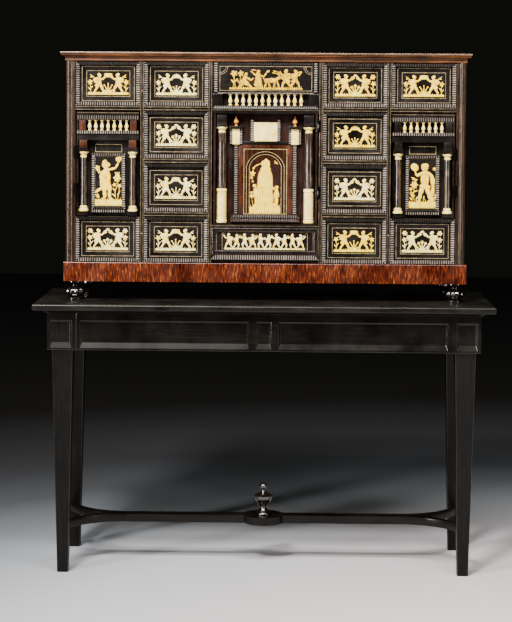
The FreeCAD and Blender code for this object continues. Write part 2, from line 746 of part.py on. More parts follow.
def centre_door():
    """The centre door in five groups: leaf, portal, shafts, ivories and flames, with its hinges apart."""
    pin_x = centre_half - hinge_offset
    x1 = pin_x - hinge_edge_gap
    z0, z1 = centre_door_floor + running_gap, centre_door_top - running_gap
    face = front_face + centre_recess
    back = face + door_leaf
    deep = back - front_face + hinge_offset
    sweep = centre_half + pin_x - swing_gap
    x0 = pin_x - (sweep ** 2 - deep ** 2) ** 0.5
    leaf = [block(x0, x1, face, back, z0, z1)]
    leaf.append(block(x0, x0 + cheek_width, front_face, face, z0, z1))
    leaf.append(block(x1 - cheek_width, x1, front_face, face, z0, z1))

    portal, ivories, shafts, flames = [], [], [], []
    axis_y = front_face + (centre_recess - seat_gap) / 2
    for x in column_x(column_offset):
        z = z0 + column_plinth_height
        plinth_x = centred(x, column_plinth_width)
        portal.append(block(*plinth_x, front_face + seat_gap, face, z0, z))
        ring = Part.makeCylinder(drum_ring_radius, drum_ring_height, V(x, axis_y, z))
        z += drum_ring_height
        ivories.append(ring.fuse(Part.makeCylinder(drum_radius, drum_height, V(x, axis_y, z))))
        z += drum_height
        shafts.append(Part.makeCylinder(shaft_radius, shaft_height, V(x, axis_y, z)))
        z += shaft_height
        capital_size = (capital_sides, capital_radius, capital_height)
        ivories.append(turned_in_flats(capital_shares, *capital_size, x, axis_y, z))
        z += capital_height
        impost_x = centred(x, impost_width)
        portal.append(block(*impost_x, front_face + running_gap, face, z, min(z + impost_height, z1)))

    panel_floor = z0 + portal_panel_bottom
    panel_top = panel_floor + portal_panel_height
    half_panel = portal_panel_width / 2
    panel = block(-half_panel, half_panel, face - portal_panel_proud, face, panel_floor, panel_top)
    half_niche = niche_width / 2
    spring = panel_floor + niche_spring_height
    arch = (
        (-half_niche, panel_floor + niche_sill),
        (half_niche, panel_floor + niche_sill),
        (half_niche, spring),
        (0, spring + niche_rise, -half_niche, spring),
    )
    cut_y = face - portal_panel_proud - overrun
    niche_wire = closed_wire(arch, lambda a, z: V(a, cut_y, z))
    niche = Part.Face(niche_wire).extrude(BACK * (overrun + niche_depth))
    portal.append(panel.cut(niche))
    base_x = portal_base_width / 2
    base_top = z0 + portal_panel_bottom
    step = base_top - portal_base_height * portal_base_step_share
    base_section = (
        (0, 0), (portal_base_height, 0), (portal_base_height, portal_base_proud / 2),
        (base_top - step, portal_base_proud * portal_base_step_share), (0, portal_base_proud),
    )
    base_start = V(-base_x, face, base_top - portal_base_height)
    portal.append(moulding(base_section, base_start, RIGHT, portal_base_width, UP, FRONT, (0, 0)))
    strip = flat_section(portal_strip_width, portal_strip_proud, frame_bevel)
    strip_start = half_panel + portal_strip_gap
    for x, outward in ((strip_start, RIGHT), (-strip_start, LEFT)):
        start = V(x, face, panel_floor)
        portal.append(moulding(strip, start, UP, portal_panel_height, outward, FRONT, (0, 0)))

    lintel_z = panel_top + lintel_lift
    half_block = pediment_block_width / 2
    lintel_x = pediment_offset - half_block - pediment_strip_width
    portal.append(block(-lintel_x, lintel_x, face - lintel_proud, face, lintel_z, lintel_z + lintel_height))
    stage = lintel_z + lintel_height
    half_tablet = tablet_width / 2
    tablet_z = (stage, stage + tablet_height)
    ivories.append(block(-half_tablet, half_tablet, face - tablet_proud, face, *tablet_z))
    tablet_strip = flat_section(tablet_strip_width, tablet_strip_proud, frame_bevel)
    for x, outward in ((half_tablet, RIGHT), (-half_tablet, LEFT)):
        start = V(x, face, stage)
        portal.append(moulding(tablet_strip, start, UP, tablet_strip_height, outward, FRONT, (0, 0)))
    wing = flat_section(pediment_strip_width, pediment_strip_proud, frame_bevel)
    block_top = panel_top + pediment_block_height
    for x in column_x(pediment_offset):
        ends = centred(x, pediment_block_width)
        ivories.append(block(*ends, face - pediment_block_proud, face, panel_top, block_top))
        for end, outward in zip(ends, (LEFT, RIGHT)):
            start = V(end, face, panel_top)
            portal.append(moulding(wing, start, UP, pediment_block_height, outward, FRONT, (0, 0)))
        cap_x = centred(x, pediment_cap_width)
        cap_top = block_top + pediment_cap_height
        portal.append(block(*cap_x, face - pediment_cap_proud, face, block_top, cap_top))
        flame_y = face - pediment_cap_proud / 2
        flame_size = (flame_sides, flame_radius, flame_height)
        flames.append(turned_in_flats(flame_shares, *flame_size, x, flame_y, cap_top))
    return leaf, portal, shafts, ivories, flames


def side_door(side):
    """A side door in three groups: leaf, order of columns, and ivories. side is -1 on the left."""
    bay = bay_a if side < 0 else bay_d
    middle = (bay[0] + bay[1]) / 2
    z0, z1 = side_door_floor + running_gap, side_door_top - running_gap
    face = front_face + side_recess
    back = face + door_leaf
    reach = drawer_opening - hinge_offset - swing_gap
    leaf_reach = (reach ** 2 - (back - front_face + hinge_offset) ** 2) ** 0.5
    member_reach = (reach ** 2 - (face - front_face + hinge_offset) ** 2) ** 0.5
    pin_x = side * (inside_x - hinge_offset)
    near = pin_x - side * hinge_edge_gap
    leaf_x = sorted((near, pin_x - side * leaf_reach))
    member_x = sorted((near, pin_x - side * member_reach))
    leaf = [block(*leaf_x, face, back, z0, z1)]

    order, ivories = [], []
    stand = z0 + side_plinth_height
    base_top = stand + side_base_height
    shaft_top = base_top + side_shaft_height
    capital_top = shaft_top + side_capital_height
    abacus_top = capital_top + side_abacus_height
    block_top = abacus_top + side_block_height
    entablature_top = block_top + entablature_height
    ledge_top = entablature_top + ledge_height
    rail_top = ledge_top + balustrade_height
    axis_y = front_face + (side_recess - seat_gap) / 2
    for offset in column_x(side_column_offset):
        x = middle + offset
        order.append(block(*centred(x, side_plinth_width), front_face + seat_gap, face, z0, stand))
        base_size = (capital_sides, side_base_radius, side_base_height)
        ivories.append(turned_in_flats(side_base_shares, *base_size, x, axis_y, stand))
        shaft_size = (side_shaft_sides, side_shaft_radius, side_shaft_height)
        order.append(prism_in_flats(*shaft_size, x, axis_y, base_top))
        capital_size = (capital_sides, side_capital_radius, side_capital_height)
        ivories.append(turned_in_flats(capital_shares, *capital_size, x, axis_y, shaft_top))
        abacus_x, block_x = centred(x, side_abacus_width), centred(x, side_block_width)
        order.append(block(*abacus_x, front_face + seat_gap, face, capital_top, abacus_top))
        order.append(block(*block_x, front_face + entablature_setback, face, abacus_top, block_top))
    beams = [block(*member_x, front_face + entablature_setback, face, block_top, entablature_top)]
    beams.append(block(*member_x, front_face, face, entablature_top, ledge_top))
    step = top_cornice_height * top_cornice_step_share
    section = (
        (0, 0), (top_cornice_height, 0), (top_cornice_height, face - front_face),
        (step, face - front_face), (0, face - front_face - entablature_setback),
    )
    start = V(member_x[0], face, rail_top)
    beams.append(moulding(section, start, RIGHT, member_x[1] - member_x[0], UP, FRONT, (0, 0)))
    for offset in column_x(balustrade_end_offset):
        x = middle + offset
        ends = centred(x, balustrade_end_width)
        order.append(block(*ends, front_face + entablature_setback, face, ledge_top, rail_top))
    row_y = front_face + entablature_setback + side_baluster_radius + seat_gap
    row_size = (side_baluster_count, side_baluster_pitch, side_baluster_radius, balustrade_height)
    ivories += row_of_balusters(middle, row_y, ledge_top, *row_size)

    panel_x = centred(middle, side_panel_width)
    panel_z0 = z0 + side_panel_bottom
    panel_z1 = panel_z0 + side_panel_height
    frame = flat_section(side_frame_width, side_frame_proud, frame_bevel)
    order += front_frame(frame, *panel_x, panel_z0, panel_z1, face)
    inner_x = (panel_x[0] + side_frame_width, panel_x[1] - side_frame_width)
    inner_z = (panel_z0 + side_frame_width, panel_z1 - side_frame_width)
    order.append(block(*inner_x, face - side_panel_proud, face, *inner_z))
    strip_top = panel_z0
    strip_bottom = strip_top - side_base_strip_height
    order.append(block(*panel_x, face - side_base_strip_proud, face, strip_bottom, strip_top))

    cheek_x = sorted((near, near - side * side_cheek_width))
    for low, high in ((z0, block_top), (ledge_top, rail_top)):
        leaf.append(block(*cheek_x, front_face, face, low, high))
    return leaf, order + beams, ivories


def coin_trays():
    """Shallow trays on thin shelves behind the centre door, each with a thumb notch in its front rim."""
    x0, x1 = tray_side_gap - centre_half, centre_half - tray_side_gap
    y0 = front_face + centre_recess + door_leaf + tray_front_gap
    y1 = inside_back - tray_back_gap
    trays, shelves = [], []
    for i in range(tray_count):
        z0 = centre_door_floor + seat_gap + i * (tray_height + tray_headroom + tray_shelf)
        z1 = z0 + tray_height
        notch = Part.makeCylinder(tray_notch_radius, tray_rim + 2 * overrun, V(0, y0 - overrun, z1), BACK)
        front = block(x0, x1, y0, y0 + tray_rim, z0, z1).cut(notch)
        trays.append([
            front,
            block(x0, x1, y1 - tray_rim, y1, z0, z1),
            block(x0, x0 + tray_rim, y0 + tray_rim, y1 - tray_rim, z0, z1),
            block(x1 - tray_rim, x1, y0 + tray_rim, y1 - tray_rim, z0, z1),
            block(x0 + tray_rim, x1 - tray_rim, y0 + tray_rim, y1 - tray_rim, z0, z0 + tray_base),
        ])
        shelf_z = z1 + tray_headroom - seat_gap
        shelves.append(block(-centre_half, centre_half, y0, inside_back, shelf_z, shelf_z + tray_shelf))
    return trays, shelves


os.makedirs("parts", exist_ok=True)

# The side table
save("stand_top", [table_top()])
save("stand_cove_moulding", cove())
save("stand_apron_rails", apron_rails())
legs = {(side, deep): leg(side, deep) for side in (-1, 1) for deep in (-1, 1)}
save("leg_front_left", [legs[-1, -1]])
save("leg_front_right", [legs[1, -1]])
save("leg_back_left", [legs[-1, 1]])
save("leg_back_right", [legs[1, 1]])
save("stretcher_fork_left", stretcher_fork(-1, legs))
save("stretcher_fork_right", stretcher_fork(1, legs))
save("stretcher_bar", [stretcher_bar()])
urn_z = stretcher_bottom + stretcher_thickness
save("urn_finial", [turned_in_flats(urn_shares, urn_sides, urn_radius, urn_height, 0, 0, urn_z)])

# The cabinet's feet, plinth and carcase
foot_x = plinth_x - foot_radius
foot_ys = (plinth_front + foot_radius, cabinet_back - foot_radius)
foot_size = (foot_sides, foot_radius, foot_height)
foot_places = [(x, y, stand_height) for x in (-foot_x, foot_x) for y in foot_ys]
save("turned_feet", [turned_in_flats(foot_shares, *foot_size, *place) for place in foot_places])
save("plinth", plinth())
inner_plinth_x = plinth_x - plinth_thickness
inner_plinth_y = (plinth_front + plinth_thickness, cabinet_back - plinth_thickness)
bottom_level = floor_level - bottom_thickness
save("carcase_bottom", [block(-inner_plinth_x, inner_plinth_x, *inner_plinth_y, bottom_level, floor_level)])
side_size = (front_face, cabinet_back, floor_level, ceiling_level)
save("carcase_side_left", [block(-carcase_x, -inside_x, *side_size)])
save("carcase_side_right", [block(inside_x, carcase_x, *side_size)])
cover_level = ceiling_level + top_thickness
save("carcase_top", [block(-carcase_x, carcase_x, front_face, cabinet_back, ceiling_level, cover_level)])
save("carcase_back", [block(-inside_x, inside_x, inside_back, cabinet_back, floor_level, ceiling_level)])
save("cornice", cornice())
save("cover_board", [cover_board()])
partition_xs = (bay_a[1], bay_b[1], centre_half, bay_c[1])
partition_size = (front_face, inside_back, floor_level, ceiling_level)
save("partitions", [block(x, x + partition, *partition_size) for x in partition_xs])
save("dust_boards", dust_boards())
save("stile_mouldings", stile_mouldings())

# The twelve small drawers
every_row = range(len(row_heights))
end_rows = (every_row[0], every_row[-1])
rows_of_bay = {"a": end_rows, "b": every_row, "c": every_row, "d": end_rows}
bays = {"a": bay_a, "b": bay_b, "c": bay_c, "d": bay_d}
for letter, rows in rows_of_bay.items():
    for row in rows:
        save("drawer_" + letter + str(len(row_heights) - row), small_drawer(bays[letter], row))

# The two drawers of the centre bay
frieze_front, frieze_balusters, frieze_box = frieze_drawer()
save("frieze_drawer_front", frieze_front)
save("frieze_drawer_balusters", frieze_balusters)
save("frieze_drawer_box", frieze_box)
low_front, low_box = low_drawer()
save("low_drawer_front", low_front)
save("low_drawer_box", low_box)

# The three doors and their hinges
leaf, portal, shafts, ivories, flames = centre_door()
save("centre_door_leaf", leaf)
save("centre_door_portal", portal)
save("centre_door_shafts", shafts)
save("centre_door_ivories", ivories)
save("centre_door_flames", flames)
fixed_leaves = []
hinges = {
    "centre_door": (centre_half, -1, centre_door_floor, (centre_hinge_low, centre_hinge_high)),
    "left_door": (-inside_x, 1, side_door_floor, (side_hinge_low, side_hinge_high)),
    "right_door": (inside_x, -1, side_door_floor, (side_hinge_low, side_hinge_high)),
}
for door, (edge_x, toward_door, door_floor, heights) in hinges.items():
    pairs = [hinge(edge_x, toward_door, door_floor + height) for height in heights]
    fixed_leaves += [pair[0] for pair in pairs]
    save(door + "_hinges", [pair[1] for pair in pairs])
save("fixed_hinge_leaves", fixed_leaves)
for door, side in (("left_door", -1), ("right_door", 1)):
    leaf, order, ivories = side_door(side)
    save(door + "_leaf", leaf)
    save(door + "_order", order)
    save(door + "_ivories", ivories)

# The coin trays
trays, shelves = coin_trays()
for i, tray in enumerate(trays):
    save("coin_tray_" + str(i + 1), tray)
save("tray_shelves", shelves)
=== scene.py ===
# %% [markdown]
# # A coin cabinet of ebonised wood with ivory figures
# The cabinet and its side table come from CAD as plain solids in one fixed frame. This lesson
# dresses them: rippled mouldings, thin light lines, turned and carved ivory, and the woods. The
# sizes below are millimetres in that frame, and each piece is scaled to metres when it is kept.

import math
import random

import bmesh
import bpy
from mathutils import Matrix, Vector


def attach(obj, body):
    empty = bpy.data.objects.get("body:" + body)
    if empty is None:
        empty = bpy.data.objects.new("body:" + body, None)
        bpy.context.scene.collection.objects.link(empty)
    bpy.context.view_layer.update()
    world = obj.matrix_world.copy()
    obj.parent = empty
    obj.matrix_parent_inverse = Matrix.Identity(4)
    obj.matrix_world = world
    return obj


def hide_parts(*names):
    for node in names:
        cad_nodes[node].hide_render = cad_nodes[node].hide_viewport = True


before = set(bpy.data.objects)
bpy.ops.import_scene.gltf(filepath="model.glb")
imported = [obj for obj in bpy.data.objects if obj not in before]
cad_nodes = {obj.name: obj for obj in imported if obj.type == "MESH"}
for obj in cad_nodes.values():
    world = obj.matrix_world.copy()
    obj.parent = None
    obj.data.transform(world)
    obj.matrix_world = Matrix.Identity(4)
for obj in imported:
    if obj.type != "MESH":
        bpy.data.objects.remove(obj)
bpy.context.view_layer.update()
MM = 0.001
RIGHT, LEFT = Vector((1, 0, 0)), Vector((-1, 0, 0))
FRONT, UP, DOWN = Vector((0, -1, 0)), Vector((0, 0, 1)), Vector((0, 0, -1))

# %% [markdown]
# ## Camera
# The photograph was taken from far off with a long lens, a little above the cabinet's top, and
# then framed downwards. A long lens with a small tilt and a lens shift gives the same picture,
# and it keeps the legs upright. The place, turn and lens come from matching corners in the photo.

# %% Camera
IMAGE_HEIGHT = 622
FOCAL_PIXELS = 1896
SENSOR = 36
LENS_SHIFT = -0.195
CAMERA_PLACE = Vector((0.0623, -5.514, 1.3514))
TURN, TILT, ROLL = 0.935, 2.729, 0.392
camera_data = bpy.data.cameras.new("camera")
camera_data.sensor_width = SENSOR
camera_data.lens = FOCAL_PIXELS * SENSOR / IMAGE_HEIGHT
camera_data.shift_y = LENS_SHIFT
camera = bpy.data.objects.new("camera", camera_data)
bpy.context.scene.collection.objects.link(camera)
camera.matrix_world = (
    Matrix.Translation(CAMERA_PLACE)
    @ Matrix.Rotation(math.radians(TURN), 4, "Z")
    @ Matrix.Rotation(math.radians(90 - TILT), 4, "X")
    @ Matrix.Rotation(math.radians(ROLL), 4, "Z")
)
bpy.context.scene.camera = camera
print("lens", round(camera_data.lens, 1), "mm")

# %% [markdown]
# ## How materials are made here
# Colours are written as sRGB hex values, as in a paint shop, and one function turns them to
# linear light. One small function adds a shader node with its settings and links. A pattern's
# scale always comes from a real size in millimetres.

# %% Colour and node helpers
def colour(code):
    """sRGB hex to linear RGBA."""
    channels = [int(code[i : i + 2], 16) / 255 for i in (0, 2, 4)]
    linear = [c / 12.92 if c <= 0.04045 else ((c + 0.055) / 1.055) ** 2.4 for c in channels]
    return (*linear, 1)


def settle(item, settings):
    """Sets a node's inputs or options by name."""
    for key, value in settings.items():
        if isinstance(key, int) or key in item.inputs:
            item.inputs[key].default_value = value
        else:
            setattr(item, key, value)


def add(tree, kind, settings=None, links=None):
    """Adds one node with its settings, and links its inputs."""
    item = tree.nodes.new(kind)
    settle(item, settings or {})
    for key, source in (links or {}).items():
        tree.links.new(source, item.inputs[key])
    return item


def ramp(tree, factor, stops):
    """A colour ramp through (place, hex) stops."""
    item = add(tree, "ShaderNodeValToRGB", links={"Fac": factor})
    points = item.color_ramp.elements
    while len(points) < len(stops):
        points.new(0.5)
    for point, (place, code) in zip(points, stops):
        point.position = place
        point.color = colour(code)
    return item.outputs["Color"]


def start_material(name):
    """An empty material, its shader and the object coordinates that its patterns follow."""
    material = bpy.data.materials.new(name)
    material.use_nodes = True
    tree = material.node_tree
    tree.nodes.clear()
    shader = add(tree, "ShaderNodeBsdfPrincipled")
    add(tree, "ShaderNodeOutputMaterial", links={"Surface": shader.outputs["BSDF"]})
    where = add(tree, "ShaderNodeTexCoord").outputs["Object"]
    return material, tree, shader, where


def pattern(tree, where, size_mm, detail=4):
    """Noise whose grains measure size_mm along x, y and z."""
    scale = [1 / (size * MM) for size in size_mm]
    place = add(tree, "ShaderNodeMapping", {"Scale": scale}, {"Vector": where}).outputs["Vector"]
    settings = {"Scale": 1, "Detail": detail, "Roughness": 0.6}
    return add(tree, "ShaderNodeTexNoise", settings, {"Vector": place}).outputs["Fac"]


def relief(tree, shader, height, distance_mm, strength=0.5):
    """A small bump on the surface."""
    settings = {"Strength": strength, "Distance": distance_mm * MM}
    bump = add(tree, "ShaderNodeBump", settings, {"Height": height})
    tree.links.new(bump.outputs["Normal"], shader.inputs["Normal"])


# %% [markdown]
# ## Woods
# Ebonised pearwood is a close-grained wood stained black with iron and polished with shellac.
# The eye sees a deep brown-black with a soft, uneven shine, and brown where hands and dusters
# wore the stain. Rosewood and snakewood veneers keep their own colour and streaks. One function
# draws them all: long thin noise for the grain, broad noise for patches of colour and of shine,
# and the same grain again in the bump.

# %% Wood materials
PATCH_SHARE = 0.85
SMOOTHER, ROUGHER = 0.07, 0.09
SHELLAC_IOR = 1.5
SHELLAC_ROUGHNESS = 0.18


def wood(name, stops, grain_mm, roughness, coat=0.25, patch="6f6f6f", patch_mm=(90, 90, 90), shine=0.5):
    """A polished wood. grain_mm is the size of a streak along x, y and z."""
    material, tree, shader, where = start_material(name)
    grain = pattern(tree, where, grain_mm, 6)
    patches = pattern(tree, where, patch_mm, 3)
    body = ramp(tree, grain, stops)
    shade = ramp(tree, patches, ((0.3, patch), (0.62, "ffffff")))
    settings = {"blend_type": "MULTIPLY", "Fac": PATCH_SHARE}
    mixed = add(tree, "ShaderNodeMixRGB", settings, {"Color1": body, "Color2": shade})
    tree.links.new(mixed.outputs["Color"], shader.inputs["Base Color"])
    settings = {"From Min": 0.3, "From Max": 0.7}
    settings.update({"To Min": roughness - SMOOTHER, "To Max": roughness + ROUGHER})
    uneven = add(tree, "ShaderNodeMapRange", settings, {"Value": patches})
    tree.links.new(uneven.outputs["Result"], shader.inputs["Roughness"])
    settle(shader, {"IOR": SHELLAC_IOR, "Specular IOR Level": shine})
    settle(shader, {"Coat Weight": coat, "Coat Roughness": SHELLAC_ROUGHNESS})
    relief(tree, shader, grain, 0.12, 0.25)
    return material


# %% The woods
EBONY_STOPS = ((0.28, "060504"), (0.52, "0f0b08"), (0.74, "2a1c12"))
STAND_STOPS = ((0.28, "060504"), (0.52, "0c0a08"), (0.74, "1c150f"))
STAND_TOP_STOPS = ((0.28, "0d0c0b"), (0.52, "1a1816"), (0.74, "2b2824"))
WAVED_STOPS = ((0.28, "080504"), (0.52, "120c08"), (0.74, "241a12"))
# Colour of the painted highlight on the crests of the waved strips.
CREST_HIGHLIGHT_STOPS = ((0.25, "62594f"), (0.5, "93887c"), (0.75, "bdb2a6"))
BROWN_STOPS = ((0.25, "1c0d05"), (0.5, "4c270c"), (0.75, "8a5018"))
# Painted highlight: the pale colour of the cover board's front nose.
COVER_NOSE_HIGHLIGHT_STOPS = ((0.25, "321d0e"), (0.5, "664426"), (0.75, "98744c"))
STILE_STOPS = ((0.25, "120905"), (0.5, "2c1a0c"), (0.75, "4e3418"))
RED_STOPS = ((0.25, "150805"), (0.48, "2f160a"), (0.72, "583015"))
RED_BAND_STOPS = ((0.25, "180a05"), (0.48, "3b1b0b"), (0.72, "683212"))
DARK_RED_STOPS = ((0.25, "0c0503"), (0.48, "1b0b06"), (0.72, "3c1b0e"))
VENEER_STOPS = ((0.32, "220c05"), (0.46, "431808"), (0.57, "68280b"), (0.7, "b46824"))
PINE_STOPS = ((0.25, "8a6238"), (0.5, "b08550"), (0.78, "c9a26b"))
ebony_level = wood("ebonised_pearwood_level_grain", EBONY_STOPS, (60, 3, 2.2), 0.3)
ebony_upright = wood("ebonised_pearwood_upright_grain", EBONY_STOPS, (2.2, 3, 70), 0.3)
ebony_worn = wood("ebonised_pearwood_worn_edge", ((0.3, "140d09"), (0.7, "4a3020")), (9, 9, 9), 0.26)
waved_level = wood("waved_ebonised_strip", WAVED_STOPS, (60, 3, 2.2), 0.36, 0.0, shine=0.2)
stand_level = wood("ebonised_table_level_grain", STAND_STOPS, (90, 5, 3), 0.33, 0.03, shine=0.18)
stand_top_wood = wood("ebonised_table_top_grain", STAND_TOP_STOPS, (90, 5, 3), 0.33, 0.03, shine=0.18)
stand_upright = wood("ebonised_table_upright_grain", STAND_STOPS, (3, 4, 110), 0.4, 0.0, shine=0.16)
stand_worn = wood("ebonised_table_worn_edge", ((0.3, "120e0a"), (0.7, "383028")), (12, 12, 12), 0.25)
turned_black = wood("ebonised_turned_wood", EBONY_STOPS, (9, 9, 5), 0.16, 1.0, shine=0.9)
rosewood_level = wood("rosewood_level_grain", BROWN_STOPS, (70, 4, 2), 0.38, 0.05, shine=0.35)
rosewood_cover_highlight = wood("rosewood_cover_grain", COVER_NOSE_HIGHLIGHT_STOPS, (70, 4, 2), 0.28, 0.6, shine=0.8)
rosewood_upright = wood("rosewood_upright_grain", STILE_STOPS, (2.4, 3, 60), 0.32, 0.12)
rosewood_side = wood("rosewood_side_boards", STILE_STOPS, (3, 3, 80), 0.34, 0.12, "a4a4a4", (140, 140, 240))
red_panel = wood("red_rosewood_panel", RED_STOPS, (4, 4, 60), 0.3, 0.2)
red_band = wood("red_rosewood_band", RED_BAND_STOPS, (4, 4, 24), 0.3, 0.2)
dark_red = wood("dark_red_rosewood", DARK_RED_STOPS, (4, 4, 60), 0.3, 0.15)
plinth_veneer = wood(
    "snakewood_veneer_upright_streaks", VENEER_STOPS, (3.4, 3.4, 24), 0.3, 0.25, "7c3024", (52, 60, 90)
)
pine = wood("waxed_pine", PINE_STOPS, (3, 50, 3), 0.5, 0.05, "a8a8a8")
pine_level = wood("waxed_pine_level_grain", PINE_STOPS, (70, 4, 4), 0.5, 0.05, "a8a8a8")
print(len(bpy.data.materials), "woods")


# %% Painted highlights on the crests of the waved strips
def paint_crest_highlights(material, stops):
    """Paints the crests of the waves paler: a painted highlight, with some stain rubbed off too."""
    tree = material.node_tree
    shader = next(n for n in tree.nodes if n.type == "BSDF_PRINCIPLED")
    where = next(n for n in tree.nodes if n.type == "TEX_COORD").outputs["Object"]
    crest = add(tree, "ShaderNodeAttribute", {"attribute_name": "crest"}).outputs["Fac"]
    # Painted highlight: the higher the crest value, the paler the wood.
    share = ramp(tree, crest, ((0.38, "000000"), (0.98, "ffffff")))
    pale = ramp(tree, pattern(tree, where, (24, 9, 24), 3), stops)
    dark = shader.inputs["Base Color"].links[0].from_socket
    both = add(tree, "ShaderNodeMixRGB", links={"Fac": share, "Color1": dark, "Color2": pale})
    tree.links.new(both.outputs["Color"], shader.inputs["Base Color"])


paint_crest_highlights(waved_level, CREST_HIGHLIGHT_STOPS)

# %% [markdown]
# ## Ivory, bone, shell and metal
# Ivory and bone are cut in thin plates, polished, and engraved with fine strokes that are rubbed
# with black. They yellow unevenly and turn brown in the strokes, so the material mixes cream
# patches with thin wavy lines, drawn coarser than real strokes so that they show. On the carved
# plates the low parts of each form are browner: the shapes carry a value, the crest, that runs
# from 0 at the foot of a form to 1 on its top. Turtle shell is brown and amber blots under polish.

# %% Ivory
IVORY_IOR = 1.54
IVORY_DEPTH = 0.002
BAND_PERIOD = 0.314
CREAM_PATCH = (16, 16, 16)
CARVED_STOPS = ((0.0, "5a3f1c"), (0.38, "c4a264"), (0.64, "ffffff"))


def ivory(name, stroke, stops, roughness=0.42, carved=False, stroke_mm=1.8, run="DIAGONAL", wander=8.0):
    """Aged ivory with rubbed-in strokes. stroke is how dark they are, from 0 to 1."""
    material, tree, shader, where = start_material(name)
    cream = ramp(tree, pattern(tree, where, CREAM_PATCH, 5), stops)
    # At a scale of 1 the bands of Blender's wave texture lie BAND_PERIOD apart.
    settings = {"Scale": BAND_PERIOD / (stroke_mm * MM), "Distortion": wander, "bands_direction": run}
    settings.update({"Detail": 3.0, "Detail Scale": 1.2})
    waves = add(tree, "ShaderNodeTexWave", settings, {"Vector": where}).outputs["Fac"]
    strokes = ramp(tree, waves, ((0.0, "6b4a24"), (0.16, "d9c193"), (0.3, "ffffff")))
    settings = {"blend_type": "MULTIPLY", "Fac": stroke}
    base = add(tree, "ShaderNodeMixRGB", settings, {"Color1": cream, "Color2": strokes}).outputs["Color"]
    if carved:
        crest = add(tree, "ShaderNodeAttribute", {"attribute_name": "crest"}).outputs["Fac"]
        foot = ramp(tree, crest, CARVED_STOPS)
        settings = {"blend_type": "MULTIPLY", "Fac": 1.0}
        base = add(tree, "ShaderNodeMixRGB", settings, {"Color1": base, "Color2": foot}).outputs["Color"]
    tree.links.new(base, shader.inputs["Base Color"])
    settle(shader, {"Roughness": roughness, "IOR": IVORY_IOR, "Specular IOR Level": 0.2 if carved else 0.5})
    settle(shader, {"Subsurface Weight": 0.08, "Subsurface Scale": IVORY_DEPTH})
    relief(tree, shader, waves, 0.1, 0.2)
    return material


# %% The ivories, and light lines of box wood
CREAM_STOPS = ((0.25, "dcb03c"), (0.42, "ffe77c"), (0.7, "fffcc4"))
WARM_STOPS = ((0.25, "c4940c"), (0.42, "ffd224"), (0.7, "fff058"))
GOLDEN_STOPS = ((0.25, "9e7a00"), (0.5, "dcb000"), (0.75, "fad800"))
carved_ivory = ivory("engraved_ivory", 0.5, CREAM_STOPS, carved=True, stroke_mm=4.6)
warm_ivory = ivory("engraved_ivory_warm", 0.4, WARM_STOPS, carved=True, stroke_mm=4.2, run="X")
robe_ivory = ivory("engraved_ivory_robe", 0.55, WARM_STOPS, carved=True, stroke_mm=7.5, run="X", wander=5.5)
golden_ivory = ivory("engraved_ivory_yellowed", 0.5, GOLDEN_STOPS, carved=True, stroke_mm=4.6)
turned_ivory = ivory("turned_ivory", 0.1, ((0.25, "e4b43c"), (0.5, "ffe280"), (0.75, "fff8b8")), 0.36)
stained_bone = ivory("stained_bone", 0.15, ((0.25, "8a4a10"), (0.5, "c8781e"), (0.75, "e8a040")))
light_line = ivory("light_wood_line", 0.3, ((0.25, "6e5a38"), (0.5, "b09a66"), (0.75, "decb9a")), 0.36)
gold_line = ivory("worn_box_wood_line", 0.3, ((0.25, "282216"), (0.5, "564b34"), (0.75, "8c8060")), 0.4)
drawer_line = ivory("dim_box_wood_line", 0.3, ((0.25, "3c3220"), (0.5, "85765a"), (0.75, "b8a880")), 0.4)


# %% Shell and iron
def blotched(name, stops, size_mm, roughness, metallic=0.0, coat=0.0):
    """A smooth surface with soft blots of colour."""
    material, tree, shader, where = start_material(name)
    blots = pattern(tree, where, (size_mm, size_mm, size_mm * 2), 3)
    tree.links.new(ramp(tree, blots, stops), shader.inputs["Base Color"])
    settle(shader, {"Roughness": roughness, "Metallic": metallic})
    settle(shader, {"Coat Weight": coat, "Coat Roughness": 0.09})
    relief(tree, shader, blots, 0.05, 0.15)
    return material


SHELL_STOPS = ((0.35, "160d08"), (0.55, "32241a"), (0.78, "705840"))
turtle_shell = blotched("polished_turtle_shell", SHELL_STOPS, 14, 0.3, coat=1.0)
dark_iron = blotched("dark_iron", ((0.3, "1c1a19"), (0.7, "6a6763")), 4, 0.4, metallic=1.0)
black_iron = blotched("blackened_iron", ((0.3, "060505"), (0.7, "161412")), 4, 0.5, metallic=1.0)
print(len(bpy.data.materials), "materials")

# %% [markdown]
# ## Dressing the CAD nodes
# Boards, legs and carcase already have the right shape, so they stay and only get a wood. Where
# an arris is rubbed, live modifiers soften it: weld the loose triangles, merge the flats, and
# bevel. The bevel's faces take a second material, the worn edge, as on a piece that has been
# dusted for three hundred years.

# %% Woods and worn edges on the CAD nodes
WELD_REACH = 0.00001
FLAT_ANGLE = math.radians(1)
ARRIS_ANGLE = math.radians(40)


def dress(node, material, worn=None, width_mm=0.8, segments=2):
    """Gives a CAD node its wood, and softened edges where worn is given."""
    thing = cad_nodes[node]
    thing.data.materials.clear()
    thing.data.materials.append(material)
    if worn is None:
        return
    thing.data.materials.append(worn)
    weld = thing.modifiers.new("weld", "WELD")
    weld.merge_threshold = WELD_REACH
    flats = thing.modifiers.new("flats", "DECIMATE")
    flats.decimate_type = "DISSOLVE"
    flats.angle_limit = FLAT_ANGLE
    bevel = thing.modifiers.new("arris", "BEVEL")
    bevel.width = width_mm * MM
    bevel.segments = segments
    bevel.limit_method = "ANGLE"
    bevel.angle_limit = ARRIS_ANGLE
    bevel.material = 1


